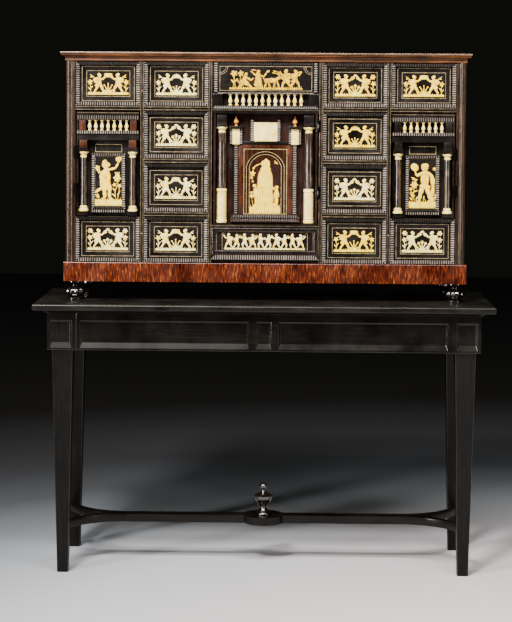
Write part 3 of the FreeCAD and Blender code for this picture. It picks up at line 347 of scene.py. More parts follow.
# %% The finish of each node
PLAIN_NODES = (
    (stand_top_wood, ("stand_top",)),
    (stand_level, ("stand_cove_moulding", "stretcher_bar")),
    (ebony_upright, ("partitions",)),
    (rosewood_side, ("carcase_side_left", "carcase_side_right")),
    (rosewood_level, ("carcase_top", "cornice")),
    (rosewood_upright, ("stile_mouldings",)),
    (plinth_veneer, ("plinth",)),
    (pine_level, ("carcase_bottom", "carcase_back", "tray_shelves")),
    (pine, ("frieze_drawer_box", "low_drawer_box", "coin_tray_1", "coin_tray_2", "coin_tray_3")),
    (dark_iron, ("centre_door_hinges",)),
    (black_iron, ("left_door_hinges", "right_door_hinges", "fixed_hinge_leaves")),
    (turned_ivory, ("centre_door_ivories", "left_door_ivories", "right_door_ivories")),
    (turned_ivory, ("frieze_drawer_balusters",)),
    (turtle_shell, ("centre_door_shafts",)),
    (stained_bone, ("centre_door_flames",)),
    (turned_black, ("urn_finial", "turned_feet")),
)
EDGED_NODES = (
    (stand_upright, stand_worn, 1.0, 2, ("leg_front_left", "leg_front_right")),
    (stand_upright, stand_worn, 1.0, 2, ("leg_back_left", "leg_back_right")),
    (stand_level, stand_worn, 1.2, 2, ("stretcher_fork_left", "stretcher_fork_right")),
    (stand_level, stand_worn, 0.8, 2, ("stand_apron_rails",)),
    (ebony_level, ebony_worn, 0.5, 1, ("dust_boards", "low_drawer_front", "frieze_drawer_front")),
    (ebony_level, ebony_worn, 0.4, 1, ("left_door_order", "right_door_order")),
    (ebony_upright, ebony_worn, 0.5, 1, ("left_door_leaf", "right_door_leaf")),
    (dark_red, dark_red, 0.5, 1, ("centre_door_leaf",)),
)
for material, names in PLAIN_NODES:
    for name in names:
        dress(name, material)
for material, worn, width_mm, segments, names in EDGED_NODES:
    for name in names:
        dress(name, material, worn, width_mm, segments)
counts = [sum(len(row[-1]) for row in table) for table in (PLAIN_NODES, EDGED_NODES)]
print(counts[0], "nodes with a plain finish,", counts[1], "with softened edges")

# %% [markdown]
# ## One node with two woods
# Each small drawer is one CAD node: an ebonised front with a pine box behind it. Its material
# looks at the depth of each point, and everything behind the front board's back face is pine.
# The portal's material does the same: the sunk ground of the niche is a darker rosewood. On the
# cover board only the front nose is paler, a painted highlight along its edge. A mask that
# compares the depth with a plane picks one wood or the other.

# %% Woods that change with depth
FRONT_BOARD_BACK = -88.4
NICHE_EDGE = -79.5
COVER_NOSE_BACK = -121.5


def behind(material, name, plane, stops, grain_mm):
    """A copy of a wood that shows another wood behind the plane y = plane."""
    double = material.copy()
    double.name = name
    tree = double.node_tree
    shader = next(n for n in tree.nodes if n.type == "BSDF_PRINCIPLED")
    where = next(n for n in tree.nodes if n.type == "TEX_COORD").outputs["Object"]
    depth = add(tree, "ShaderNodeSeparateXYZ", links={"Vector": where}).outputs["Y"]
    mask = add(tree, "ShaderNodeMath", {"operation": "GREATER_THAN", 1: plane * MM}, {0: depth})
    other = ramp(tree, pattern(tree, where, grain_mm, 5), stops)
    first = shader.inputs["Base Color"].links[0].from_socket
    links = {"Fac": mask.outputs["Value"], "Color1": first, "Color2": other}
    both = add(tree, "ShaderNodeMixRGB", links=links)
    tree.links.new(both.outputs["Color"], shader.inputs["Base Color"])
    return double


drawer_wood = behind(ebony_level, "ebonised_front_on_pine_box", FRONT_BOARD_BACK, PINE_STOPS, (4, 50, 4))
small_drawers = sorted(name for name in cad_nodes if name.startswith("drawer_"))
for name in small_drawers:
    dress(name, drawer_wood)
portal_wood = behind(red_panel, "red_rosewood_with_dark_niche", NICHE_EDGE, DARK_RED_STOPS, (4, 4, 60))
dress("centre_door_portal", portal_wood, red_panel, 0.4, 1)
# The paler front nose is a painted highlight.
cover_wood_painted_nose = behind(rosewood_cover_highlight, "rosewood_cover_with_painted_highlight_nose", COVER_NOSE_BACK, STILE_STOPS, (70, 4, 2))
dress("cover_board", cover_wood_painted_nose)
print(len(small_drawers), "small drawers")

# %% [markdown]
# ## Keeping a piece
# A new piece is made as a bmesh in millimetres. It is kept by scaling it to metres, giving it
# smooth faces with crisp edges, and tying it to the CAD body that it moves with.

# %% Keep a piece
def keep(name, bm, material, body, crisp=38, outwards=True):
    """Makes the finished bmesh a piece of the cabinet."""
    bmesh.ops.scale(bm, vec=(MM, MM, MM), verts=bm.verts)
    if outwards:
        bmesh.ops.recalc_face_normals(bm, faces=bm.faces)
    mesh = bpy.data.meshes.new(name)
    bm.to_mesh(mesh)
    bm.free()
    mesh.shade_smooth()
    mesh.set_sharp_from_angle(angle=math.radians(crisp))
    mesh.materials.append(material)
    piece = bpy.data.objects.new(name, mesh)
    bpy.context.scene.collection.objects.link(piece)
    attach(piece, body)
    print(name, len(mesh.polygons), "faces")
    return piece


def join(bm, small):
    """Adds a small finished bmesh to a larger one."""
    mesh = bpy.data.meshes.new("part")
    small.to_mesh(mesh)
    small.free()
    bm.from_mesh(mesh)
    bpy.data.meshes.remove(mesh)


# %% [markdown]
# ## Rippled mouldings
# A ripple moulding is a strip of hard wood that a machine has waved: a scraper rises and falls
# as the strip is drawn under it, so fine ridges run across its face 6.5 mm apart. Round a drawer
# the strip leans in, its outer side higher. A grid makes it well: one row of faces for each step
# of the section, six for each wave. Where two strips meet in a corner, their ends are cut at 45
# degrees with a plane, as with a saw.

# %% Ripple strips
RIPPLE_PITCH = 6.5
RIPPLE_HEIGHT = 2.0


def ripple_strip(
    bm, start, along, length, width, top, mitres=(0, 0), bevel=2, pitch=RIPPLE_PITCH, wave=RIPPLE_HEIGHT,
    lean=0, light=1,
):
    """A waved strip on a plain one that stands `top` proud. Its inner side is to the left of its run.

    lean is how much higher its outer side stands, and light how strong the painted highlight on its crests
    is.
    """
    inward = FRONT.cross(along)
    section = ((0.05, top - bevel - 1, 0), (0.05, top - bevel + 0.2, 0.4), (bevel, top + 0.25, 1))
    section += tuple((width - u, h, share) for u, h, share in reversed(section))
    waves = max(2, round(length / pitch))
    strip = bmesh.new()
    crest = strip.verts.layers.float.new("crest")
    bmesh.ops.create_grid(strip, x_segments=6 * waves, y_segments=len(section) - 1, size=0.5)
    for vert in strip.verts:
        u, height, share = section[round((vert.co.y + 0.5) * (len(section) - 1))]
        run = vert.co.x + 0.5
        ridge = 0.5 - 0.5 * math.cos(2 * math.pi * waves * run)
        vert.co = Vector((run * length, u, height + wave * share * ridge + share * lean * (1 - u / width)))
        # The crest value carries the painted highlight on the waves, scaled by light.
        vert[crest] = ridge * light * (0.5 + 0.5 * share)
    for place, mitre in ((0, mitres[0]), (length, mitres[1])):
        if mitre:
            outer = Vector((-1 if place == 0 else 1, mitre, 0))
            cut = strip.verts[:] + strip.edges[:] + strip.faces[:]
            bmesh.ops.bisect_plane(strip, geom=cut, plane_co=(place, 0, 0), plane_no=outer, clear_outer=True)
    axes = Matrix((along, inward, FRONT)).transposed().to_4x4()
    bmesh.ops.transform(strip, matrix=Matrix.Translation(start) @ axes, verts=strip.verts)
    join(bm, strip)


# %% Ripple frames
# Painted light: the crest highlight of the lower, right, upper and left strip, weakest on the upper one, as
# the lamps fall.
FRAME_CREST_HIGHLIGHTS = (0.8, 1.0, 0.45, 0.85)


def ripple_frame(bm, x0, x1, z0, z1, face, width, top, wave=RIPPLE_HEIGHT, lean=0, lights=FRAME_CREST_HIGHLIGHTS):
    """Four waved strips round a panel, mitred at the corners: the lower, right, upper and left one, each with
    its own strength of painted crest highlight.
    """
    corners = (Vector((x0, face, z0)), Vector((x1, face, z0)), Vector((x1, face, z1)), Vector((x0, face, z1)))
    lengths = (x1 - x0, z1 - z0, x1 - x0, z1 - z0)
    for start, along, length, light in zip(corners, (RIGHT, UP, LEFT, DOWN), lengths, lights):
        ripple_strip(bm, start, along, length, width, top, (1, 1), wave=wave, lean=lean, light=light)


# %% Ripples round the small drawers
BAYS = {"a": (-543, -357), "b": (-348, -162), "c": (162, 348), "d": (357, 543)}
FLOORS = (883, 1027.5, 1180, 1329.5)
TOPS = (1016, 1168.5, 1318, 1458.5)
SIDE_GAP, FOOT_GAP, HEAD_GAP = 0.6, 0.3, 1.2
BOARD_FACE = -100.5
DRAWER_RIPPLE_WIDTH, DRAWER_RIPPLE_TOP = 12.5, 6


def drawer_box(name):
    """(x0, x1, z0, z1) of a small drawer's front."""
    low, high = BAYS[name[7]]
    row = 4 - int(name[8])
    return low + SIDE_GAP, high - SIDE_GAP, FLOORS[row] + FOOT_GAP, TOPS[row] - HEAD_GAP


def keep_ripples(body, bm):
    """Keeps the waved strips of one drawer or door."""
    keep(body + "_ripples", bm, waved_level, body, outwards=False)


for name in small_drawers:
    bm = bmesh.new()
    ripple_frame(bm, *drawer_box(name), BOARD_FACE, DRAWER_RIPPLE_WIDTH, DRAWER_RIPPLE_TOP, lean=2)
    keep_ripples(name, bm)

# %% [markdown]
# ## Light lines
# Thin strips of light wood are let into the dark ground, one or two millimetres wide. A line is
# a flat face with its middle taken out, so a frame comes from a grid of one face: inset it,
# delete the inner face, and lift the ring by a hair. Round lines are spun from one short edge.

# %% Lines
def panel_face(bm, x0, x1, z0, z1, y):
    """One upright face that looks to the front."""
    matrix = Matrix.Translation(((x0 + x1) / 2, y, (z0 + z1) / 2)) @ Matrix.Rotation(math.pi / 2, 4, "X")
    matrix = matrix @ Matrix.Diagonal((x1 - x0, z1 - z0, 1, 1))
    made = bmesh.ops.create_grid(bm, x_segments=1, y_segments=1, size=0.5, matrix=matrix)
    return made["verts"][0].link_faces[0]


def inset(bm, face, width):
    """Draws a face's border inwards, and returns the faces of the ring round it."""
    options = {"use_boundary": True, "use_even_offset": True}
    return bmesh.ops.inset_region(bm, faces=[face], thickness=width, **options)["faces"]


def raise_faces(bm, faces, distance):
    """Extrudes faces and moves the new ones forwards."""
    lifted = bmesh.ops.extrude_face_region(bm, geom=faces)["geom"]
    verts = [item for item in lifted if isinstance(item, bmesh.types.BMVert)]
    bmesh.ops.translate(bm, vec=FRONT * distance, verts=verts)
    return lifted


def line_frame(bm, x0, x1, z0, z1, y, width, lift=0.3):
    """A rectangle of thin line round (x0, z0) to (x1, z1)."""
    inner = panel_face(bm, x0, x1, z0, z1, y)
    ring = inset(bm, inner, width)
    bmesh.ops.delete(bm, geom=[inner], context="FACES_ONLY")
    raise_faces(bm, ring, lift)


def plate(bm, x0, x1, z0, z1, y, thickness, edge=0.5):
    """A plate with bevelled edges whose back lies at y."""
    lifted = raise_faces(bm, [panel_face(bm, x0, x1, z0, z1, y)], thickness)
    top = next(item for item in lifted if isinstance(item, bmesh.types.BMFace))
    bmesh.ops.bevel(
        bm, geom=top.edges[:], offset=edge, offset_type="OFFSET", affect="EDGES", segments=2, profile=0.5,
        material=-1,
    )


def two_plates(bm, middle, out, half, z0, z1, y, thickness, edge):
    """The same plate on the left and on the right of a middle line."""
    for x in (middle - out, middle + out):
        plate(bm, x - half, x + half, z0, z1, y, thickness, edge)


# %% Lines and sloping bands of the small drawers
SUNK = (74, 48)
SUNK_DEPTH = 1.5
OUTER_LINE_OUT = 1.3
INNER_LINE = (62.4, 37.2)
DRAWER_LINE_WIDTH = 1.4


def around(x, z, half, out=0):
    """(x0, x1, z0, z1) of a rectangle from its middle and its half sizes."""
    return x - half[0] - out, x + half[0] + out, z - half[1] - out, z + half[1] + out


def sloping_band(bm, x, z, half, width, depth):
    """Four mitred strips that slope back from a rectangle's edge to an inner rectangle."""
    inner = panel_face(bm, *around(x, z, half), BOARD_FACE - 0.1)
    inset(bm, inner, width)
    bmesh.ops.translate(bm, vec=-FRONT * depth, verts=inner.verts[:])
    bmesh.ops.delete(bm, geom=[inner], context="FACES_ONLY")


def keep_lines(body, bm, material):
    """Keeps the inlaid lines of one drawer or door."""
    keep(body + "_lines", bm, material, body)


for name in small_drawers:
    x0, x1, z0, z1 = drawer_box(name)
    x, z = (x0 + x1) / 2, (z0 + z1) / 2
    bm = bmesh.new()
    line_frame(bm, *around(x, z, SUNK, OUTER_LINE_OUT), BOARD_FACE, DRAWER_LINE_WIDTH)
    line_frame(bm, *around(x, z, INNER_LINE), BOARD_FACE + SUNK_DEPTH, DRAWER_LINE_WIDTH, 0.9)
    keep_lines(name, bm, drawer_line)
    bm = bmesh.new()
    sloping_band(bm, x, z, SUNK, 11.0, SUNK_DEPTH)
    keep(name + "_sloping_band", bm, ebony_level, name, outwards=False)

# %% [markdown]
# ## Carved figures
# The plaques show boys, flowers and beasts cut from thin ivory and laid on black. Each limb,
# leaf or fold is a flattened ball that stands one or two millimetres proud, so overlapping balls
# give one rounded outline with the limbs still legible. A figure is a short list of strokes,
# each (x, z) to (x, z) with a width. The boys' lists are in shares of their height, so that they
# serve at several sizes, and the lists of the larger figures are in millimetres.

# %% Strokes
class Relief:
    """Draws strokes of ivory on an upright ground. x and z are millimetres from its lower middle."""

    def __init__(self, x, z, face, lift=0.9, segments=10):
        self.bm = bmesh.new()
        self.place = Matrix(((1, 0, 0, x), (0, 0, -1, face), (0, 1, 0, z), (0, 0, 0, 1)))
        self.lift = lift
        self.ball = bpy.data.meshes.new("ball")
        ball = bmesh.new()
        crest = ball.verts.layers.float.new("crest")
        bmesh.ops.create_uvsphere(ball, u_segments=segments, v_segments=6, radius=1)
        for vert in ball.verts:
            vert[crest] = max(0.0, vert.co.z)
        ball.to_mesh(self.ball)
        ball.free()

    def stroke(self, a, b, width, lift=1.0):
        """One flattened ball from a to b."""
        a, b = Vector((*a, 0)), Vector((*b, 0))
        run = b - a
        turn = Matrix.Rotation(math.atan2(run.y, run.x), 4, "Z")
        size = Matrix.Diagonal((run.length / 2 + width * 0.4, width / 2, self.lift * lift, 1))
        ball = self.ball.copy()
        ball.transform(self.place @ Matrix.Translation((a + b) / 2) @ turn @ size)
        self.bm.from_mesh(ball)
        bpy.data.meshes.remove(ball)

    def boy(self, strokes, x, z, height, flip, stout):
        """A figure from a list of strokes in shares of its height. flip is -1 to face the other way."""
        for ax, az, bx, bz, width in strokes:
            a = (x + flip * ax * height, z + az * height)
            b = (x + flip * bx * height, z + bz * height)
            self.stroke(a, b, width * height * stout)

    def shape(self, strokes, lift=1.0):
        """A figure from a list of strokes in millimetres."""
        for ax, az, bx, bz, width in strokes:
            self.stroke((ax, az), (bx, bz), width, lift)

    def flower(self, x, z, size, petals=5, turn=0.0):
        """A round flower with a raised middle."""
        for i in range(petals):
            angle = turn + 2 * math.pi * i / petals
            tip = (x + math.cos(angle) * size * 0.62, z + math.sin(angle) * size * 0.62)
            self.stroke((x, z), tip, size * 0.5)
        self.stroke((x, z), (x, z), size * 0.5, 1.3)

    def stem(self, points, width):
        """A thin stalk through several points."""
        for a, b in zip(points, points[1:]):
            self.stroke(a, b, width)

    def ground(self, half, height, seed, tuft=3.5):
        """The strip of ground under the figures, with blades of grass."""
        rows = random.Random(seed)
        steps = int(half / 3)
        strip = bmesh.new()
        plate(strip, -half - 1, half + 1, 0.2, height * 0.85, 0, self.lift * 0.8, 0.3)
        crest = strip.verts.layers.float.new("crest")
        for vert in strip.verts:
            vert[crest] = 0.8
        flat = Matrix.Rotation(-math.pi / 2, 4, "X")
        bmesh.ops.transform(strip, matrix=self.place @ flat, verts=strip.verts)
        join(self.bm, strip)
        for i in range(steps):
            x = -half + (i + 0.5) * 2 * half / steps
            self.stroke((x - 1, height * 0.8), (x + 1, height * 0.8), 4.5)
            lean = rows.uniform(-2, 2)
            self.stroke((x, height * 0.6), (x + lean, height + rows.uniform(0.2, 1) * tuft), 1.6)


# %% Two boys
STRIDING_BOY = (
    (0.01, 0.885, 0.04, 0.90, 0.155), (-0.05, 0.93, 0.0, 0.965, 0.09), (0.0, 0.78, 0.01, 0.84, 0.08),
    (-0.03, 0.52, 0.0, 0.74, 0.22), (-0.03, 0.43, 0.03, 0.49, 0.21),
    (0.05, 0.72, 0.2, 0.69, 0.085), (0.2, 0.69, 0.3, 0.83, 0.07), (0.3, 0.84, 0.32, 0.87, 0.07),
    (-0.08, 0.72, -0.19, 0.61, 0.08), (-0.19, 0.61, -0.13, 0.5, 0.065),
    (-0.1, 0.76, -0.27, 0.66, 0.11), (-0.1, 0.7, -0.24, 0.55, 0.08),
    (0.04, 0.43, 0.17, 0.25, 0.13), (0.17, 0.25, 0.21, 0.05, 0.085), (0.21, 0.025, 0.29, 0.02, 0.055),
    (-0.04, 0.43, -0.13, 0.24, 0.13), (-0.13, 0.24, -0.24, 0.06, 0.085), (-0.25, 0.03, -0.17, 0.02, 0.055),
    (-0.1, 0.47, -0.2, 0.37, 0.07),
)
DANCING_BOY = (
    (0.0, 0.89, 0.03, 0.9, 0.16), (-0.01, 0.79, 0.01, 0.84, 0.08), (-0.02, 0.52, 0.0, 0.74, 0.22),
    (-0.02, 0.43, 0.02, 0.48, 0.2), (0.06, 0.72, 0.2, 0.8, 0.08), (0.2, 0.8, 0.32, 0.72, 0.065),
    (-0.07, 0.72, -0.2, 0.62, 0.08), (-0.2, 0.62, -0.31, 0.74, 0.065),
    (0.04, 0.43, 0.15, 0.27, 0.13), (0.15, 0.27, 0.09, 0.06, 0.085), (0.09, 0.03, 0.17, 0.02, 0.055),
    (-0.04, 0.43, -0.13, 0.23, 0.13), (-0.13, 0.23, -0.25, 0.05, 0.085), (-0.26, 0.03, -0.18, 0.02, 0.055),
)
print(len(STRIDING_BOY), "strokes in a boy")

# %% [markdown]
# ## The small drawers' plaques
# On each plaque two boys hold something up between them: a bowl, a bow of ribbon or a crown of
# leaves. Flowers stand at the sides and a plant grows in the middle. These three settings take
# turns over the twelve plaques, and small random shifts keep any two from being the same.

# %% Plaques
BOWL, RIBBON, CROWN = 0, 1, 2
SETTINGS = (BOWL, RIBBON, CROWN, RIBBON, BOWL)
PLAQUE_HALF_HEIGHT = 32
PLAQUE_FACE = -101.0
FIRST_SEED = 100
YELLOWED = ("drawer_a1", "drawer_c1", "drawer_c2", "drawer_c4", "drawer_d1")


def pair_of_boys(cut, kind, seed):
    """Two boys face to face with a plant between them."""
    rows = random.Random(seed)
    cut.ground(57, 6.5, seed)
    for side in (-1, 1):
        spread = 27 + rows.uniform(-1.5, 1.5)
        cut.boy(STRIDING_BOY, side * spread, 4.5, 57 + rows.uniform(-1, 1), -side, 1.24)
        cut.stroke((side * 15, 46), (side * 6, 53), 6)
    if kind == BOWL:
        cut.stroke((-8, 55), (8, 55), 12)
        cut.stroke((-11, 59), (11, 59), 5)
    elif kind == RIBBON:
        for side in (-1, 1):
            cut.stroke((0, 60), (side * 10, 51), 5)
            cut.stroke((side * 3, 52), (side * 12, 47), 5)
        cut.stroke((-3, 59), (3, 59), 7)
    else:
        for i in range(7):
            angle = math.pi * (0.05 + 0.15 * i)
            cut.stroke((0, 50), (12 * math.cos(angle), 50 + 10 * math.sin(angle)), 4.2)
    reach = 13 if kind == CROWN else 17
    for i in range(5):
        angle = math.pi * (0.12 + 0.19 * i)
        tip = (reach * math.cos(angle), 7 + reach * 1.35 * math.sin(angle))
        cut.stroke((0, 7), tip, 3.4)
        if kind == RIBBON:
            cut.flower(*tip, 6.5, 5, angle)
        else:
            cut.stroke(tip, (tip[0] * 1.25, tip[1] + 2), 4.2)
    cut.stroke((-10, 8), (10, 8), 9)
    for side in (-1, 1):
        x = side * (51 + rows.uniform(-1, 1))
        cut.stem([(x, 5), (x - side * 2, 18), (x, 32)], 2.2)
        cut.stroke((x, 16), (x - side * 7, 25), 3.6)
        cut.stroke((x, 14), (x + side * 5, 21), 3.2)
        cut.flower(x, 36, 10, 5, rows.uniform(0, 1))
        if kind == RIBBON:
            cut.flower(side * 50, 55, 10, 6)
            cut.stem([(side * 37, 44), (side * 47, 53)], 2.2)
        else:
            cut.stroke((side * 35, 45), (side * 52, 58), 2.6)
            cut.stroke((side * 44, 52), (side * 50, 50), 4)


# %% The twelve plaques
for i, name in enumerate(small_drawers):
    x0, x1, z0, z1 = drawer_box(name)
    cut = Relief((x0 + x1) / 2, (z0 + z1) / 2 - PLAQUE_HALF_HEIGHT, PLAQUE_FACE)
    pair_of_boys(cut, SETTINGS[i % len(SETTINGS)], FIRST_SEED + i)
    keep(name + "_figures", cut.bm, warm_ivory if name in YELLOWED else carved_ivory, name, crisp=60)

# %% [markdown]
# ## The centre bay's two friezes
# The upper frieze shows boys with a goat, in more yellowed ivory; the lower one a row of
# dancing boys with sticks. Both use the boys of the small plaques, and the upper one also has a
# leaning man, a tall woman and the goat, each with a list of strokes of its own.

# %% Upper frieze
FRIEZE_FACE = -108.0
LEANING_MAN = (
    (-57, 43, -55, 44, 10), (-58, 38, -62, 26, 12), (-62, 26, -70, 12, 11), (-54, 34, -42, 26, 7),
    (-42, 26, -36, 32, 5), (-66, 18, -48, 14, 10), (-48, 14, -40, 4, 7), (-70, 10, -78, 4, 7),
    (-60, 24, -50, 18, 9),
)
TALL_WOMAN = (
    (-22, 51, -20, 52, 10), (-22, 46, -22, 34, 15), (-22, 34, -21, 8, 22), (-30, 14, -12, 10, 14),
    (-28, 40, -36, 46, 6), (-36, 46, -42, 52, 5), (-15, 40, -6, 36, 6), (-6, 36, 2, 48, 5), (3, 50, 9, 53, 7),
    (-26, 54, -40, 56, 4),
)
HORNED_GOAT = (
    (2, 25, 30, 27, 15), (0, 24, 8, 25, 15), (28, 28, 42, 36, 10), (41, 36, 50, 30, 8), (40, 40, 30, 46, 4),
    (30, 46, 18, 48, 3.5), (42, 42, 32, 51, 4), (32, 51, 20, 53, 3.5), (2, 20, -4, 4, 6), (8, 20, 12, 4, 5),
    (26, 22, 22, 4, 5.5), (32, 24, 38, 5, 5.5), (-3, 28, -7, 32, 4),
)
cut = Relief(0, 1379.3, FRIEZE_FACE)
cut.ground(103, 5, 7, 5)
for x, lean in ((-93, 2), (-86, -3), (-77, 3)):
    cut.stem([(x, 4), (x + lean, 20), (x + 2 * lean, 38)], 2.2)
    cut.stroke((x + lean, 20), (x + lean + 9, 30), 4)
    cut.stroke((x + lean, 17), (x + lean - 8, 27), 4)
    cut.flower(x + 2 * lean, 45, 12, 5, lean)
for strokes in (LEANING_MAN, TALL_WOMAN, HORNED_GOAT):
    cut.shape(strokes)
cut.boy(STRIDING_BOY, 58, 3, 55, -1, 1.35)
cut.boy(STRIDING_BOY, 84, 3, 54, 1, 1.2)
cut.stem([(86, 45), (101, 52)], 4)
cut.stroke((50, 36), (44, 34), 6)
cut.stroke((72, 12), (80, 24), 7)
keep("frieze_drawer_figures", cut.bm, golden_ivory, "frieze_drawer", crisp=60)

# %% Lower frieze
LOW_FACE = -102.0
cut = Relief(0, 921.5, LOW_FACE)
cut.ground(114, 4, 8, 1.5)
for i in range(10):
    x = -103 + 22.8 * i
    boy = DANCING_BOY if i % 3 else STRIDING_BOY
    cut.boy(boy, x, 2.5, 44 - (i % 2) * 2, 1 if i % 2 else -1, 1.25)
    if i % 2:
        cut.stroke((x - 10, 22), (x + 12, 43), 2.2)
keep("low_drawer_figures", cut.bm, carved_ivory, "low_drawer", crisp=60)

# %% [markdown]
# ## Side doors: two boys among flowers
# Each side door shows one large boy. The left one lifts a round mirror, and the right one has a
# round fruit at his shoulder. Each has lists of his own, in millimetres, and the balls have more
# segments than on the small plaques, because his limbs are an inch long.

# %% Boys on the side doors
SIDE_MIDDLE = {"left_door": -450, "right_door": 450}
SIDE_NICHE_FACE = -82.5
LEFT_BOY = (
    (-11, 117, -7, 118, 22), (-2, 119, -1, 116, 13), (-15, 125, -8, 129, 9), (-9, 106, -6, 108, 11),
    (-12, 100, 1, 104, 12), (-8, 96, -6, 72, 27), (-8, 72, -6, 58, 27), (4, 104, 20, 108, 8),
    (20, 108, 27, 121, 7), (-17, 99, -24, 84, 8), (-24, 84, -20, 72, 7), (-17, 84, -20, 62, 13),
    (-20, 62, -16, 54, 13), (-20, 50, -35, 41, 9), (-31, 42, -37, 38, 7), (-12, 58, -12, 44, 17),
    (-12, 44, -10, 24, 11.5), (2, 58, 3, 44, 15), (3, 44, 3, 22, 10.5), (-12, 21, -18, 20, 6),
    (4, 20, 11, 19, 6), (28, 124, 30, 128, 6), (26, 133, 32, 135, 17), (33, 139, 36, 140, 5),
)
RIGHT_BOY = (
    (5, 115, 8, 116, 22), (8, 124, 14, 121, 11), (-1, 119, 3, 124, 9), (7, 103, 8, 108, 11),
    (-4, 99, 18, 101, 12), (7, 96, 7, 70, 26), (-3, 63, 19, 60, 16), (-23, 116, -22, 117, 26),
    (-21, 105, -18, 96, 5), (-5, 99, -14, 92, 9), (-14, 92, -19, 97, 7), (20, 99, 30, 86, 11),
    (30, 86, 32, 70, 10), (27, 92, 31, 58, 12), (31, 58, 27, 32, 12), (27, 32, 30, 20, 10),
    (0, 58, -5, 42, 15), (-5, 42, -8, 24, 11), (-7, 20, -14, 19, 6), (14, 57, 18, 42, 15),
    (18, 42, 23, 24, 11), (25, 20, 17, 19, 6),
)
LEFT_FLOWERS = ((25, 79, 15, 6), (31, 57, 9, 5), (17, 60, 8, 5), (-32, 108, 11, 5), (-27, 97, 7, 4))
RIGHT_FLOWERS = ((-23, 66, 14, 6), (-27, 36, 9, 4), (-33, 54, 7, 5), (34, 112, 7, 5))
LEFT_LEAVES = (
    (25, 84, 19, 96), (25, 84, 25, 96), (25, 84, 31, 96), (20, 40, 13, 50), (26, 30, 33, 42),
    (19, 26, 12, 34), (-30, 22, -37, 32), (-27, 22, -31, 34), (-20, 92, -28, 98), (-28, 98, -32, 106),
)
RIGHT_LEAVES = (
    (-31, 87, -21, 84), (-29, 82, -19, 80), (-22, 76, -15, 82), (-24, 46, -14, 50), (-25, 44, -35, 42),
    (-18, 22, -14, 32), (-30, 22, -35, 30), (4, 22, 5, 34), (36, 24, 37, 40),
)
LEFT_STEMS = (((20, 20), (19, 42), (25, 58), (25, 76)), ((26, 20), (30, 36), (31, 52)))
RIGHT_STEMS = (((-22, 20), (-26, 36), (-24, 50), (-23, 62)), ((-27, 22), (-31, 40), (-33, 52)))
DOOR_ART = (
    ("left_door", LEFT_BOY, LEFT_FLOWERS, LEFT_LEAVES, LEFT_STEMS),
    ("right_door", RIGHT_BOY, RIGHT_FLOWERS, RIGHT_LEAVES, RIGHT_STEMS),
)
for body, boy, flowers, leaves, stems in DOOR_ART:
    cut = Relief(SIDE_MIDDLE[body], 1043.5, SIDE_NICHE_FACE, 1.2, 16)
    cut.ground(37.5, 20, 31, 5)
    cut.shape(boy)
    for x, z, size, petals in flowers:
        cut.flower(x, z, size, petals, x)
    for x0, z0, x1, z1 in leaves:
        cut.stroke((x0, z0), (x1, z1), 4.2)
    for stem in stems:
        cut.stem(stem, 2.5)
    keep(body + "_figure", cut.bm, warm_ivory, body, crisp=60)

# %% [markdown]
# ## The niche: a robed woman with children
# The main figure is a calm allegory of charity: a veiled woman in a long robe, a child at each
# side. Her robe is a few broad strokes, with long, narrow, higher ones for its folds.

# %% Figure in the niche
NICHE_FACE = -78.5
ROCKS = ((-30, 20, -14, 26, 16), (14, 25, 34, 20, 18), (-6, 24, 10, 26, 20))
ROBED_WOMAN = (
    (0, 24, 0, 62, 56), (0, 50, 0, 92, 50), (1, 84, 1, 116, 42), (2, 112, 2, 130, 31), (-8, 128, 12, 128, 15),
    (-8, 66, -6, 122, 30), (10, 66, 9, 121, 28), (2, 140, 3, 146, 17), (-6, 148, 10, 149, 11),
    (2, 153, 4, 154, 9), (-7, 136, -6, 148, 7), (11, 134, 11, 147, 7),
)
FOLDS = (
    (-20, 22, -15, 84, 4.6), (-12, 16, -10, 100, 4.2), (-4, 14, -4, 78, 4.6), (4, 15, 3, 102, 4.2),
    (12, 16, 10, 90, 4.6), (20, 22, 15, 96, 4.2), (-17, 106, -3, 92, 8), (18, 106, 5, 93, 8),
    (0, 94, 3, 106, 12), (-14, 120, -4, 108, 5), (15, 121, 7, 110, 5),
)
CHILDREN = (
    (-30, 79, -29, 80, 12), (-27, 72, -25, 46, 15), (-22, 70, -12, 78, 6), (-26, 46, -24, 28, 11),
    (34, 75, 34, 76, 12), (34, 68, 32, 44, 14), (30, 68, 20, 76, 6), (34, 46, 33, 26, 11),
    (38, 62, 40, 48, 5),
)
cut = Relief(-1, 1023.8, NICHE_FACE, 1.6, 16)
cut.ground(43, 22, 51, 6)
cut.shape(ROCKS)
cut.shape(ROBED_WOMAN)
cut.shape(FOLDS, lift=1.25)
cut.shape(CHILDREN, lift=1.1)
cut.stem([(-7, 146), (-16, 141), (-24, 139), (-31, 132)], 3.6)
cut.stroke((-32, 131), (-33, 129), 7)
for x, z, size in ((-35, 115, 11), (-38, 103, 6), (-35, 92, 5), (-38, 60, 6), (-37, 50, 9)):
    cut.flower(x, z, size, 5, x)
cut.stem([(-35, 112), (-38, 103), (-34, 92)], 1.6)
cut.stem([(-34, 26), (-37, 40), (-37, 50)], 2)
for x0, z0, x1, z1 in ((28, 144, 33, 148), (31, 145, 28, 151), (32, 146, 36, 143)):
    cut.stroke((x0, z0), (x1, z1), 3.6)
keep("centre_door_figure", cut.bm, robe_ivory, "centre_door", crisp=60)

# %% [markdown]
# ## Turned ivory
# Balusters, capitals and column bases are turned on a lathe. In Blender a lathe is a spin: an
# outline in (radius, height) is drawn once as a chain of edges and spun round its axis, with the
# seam merged. They replace the CAD's coarser turnings of the same size.

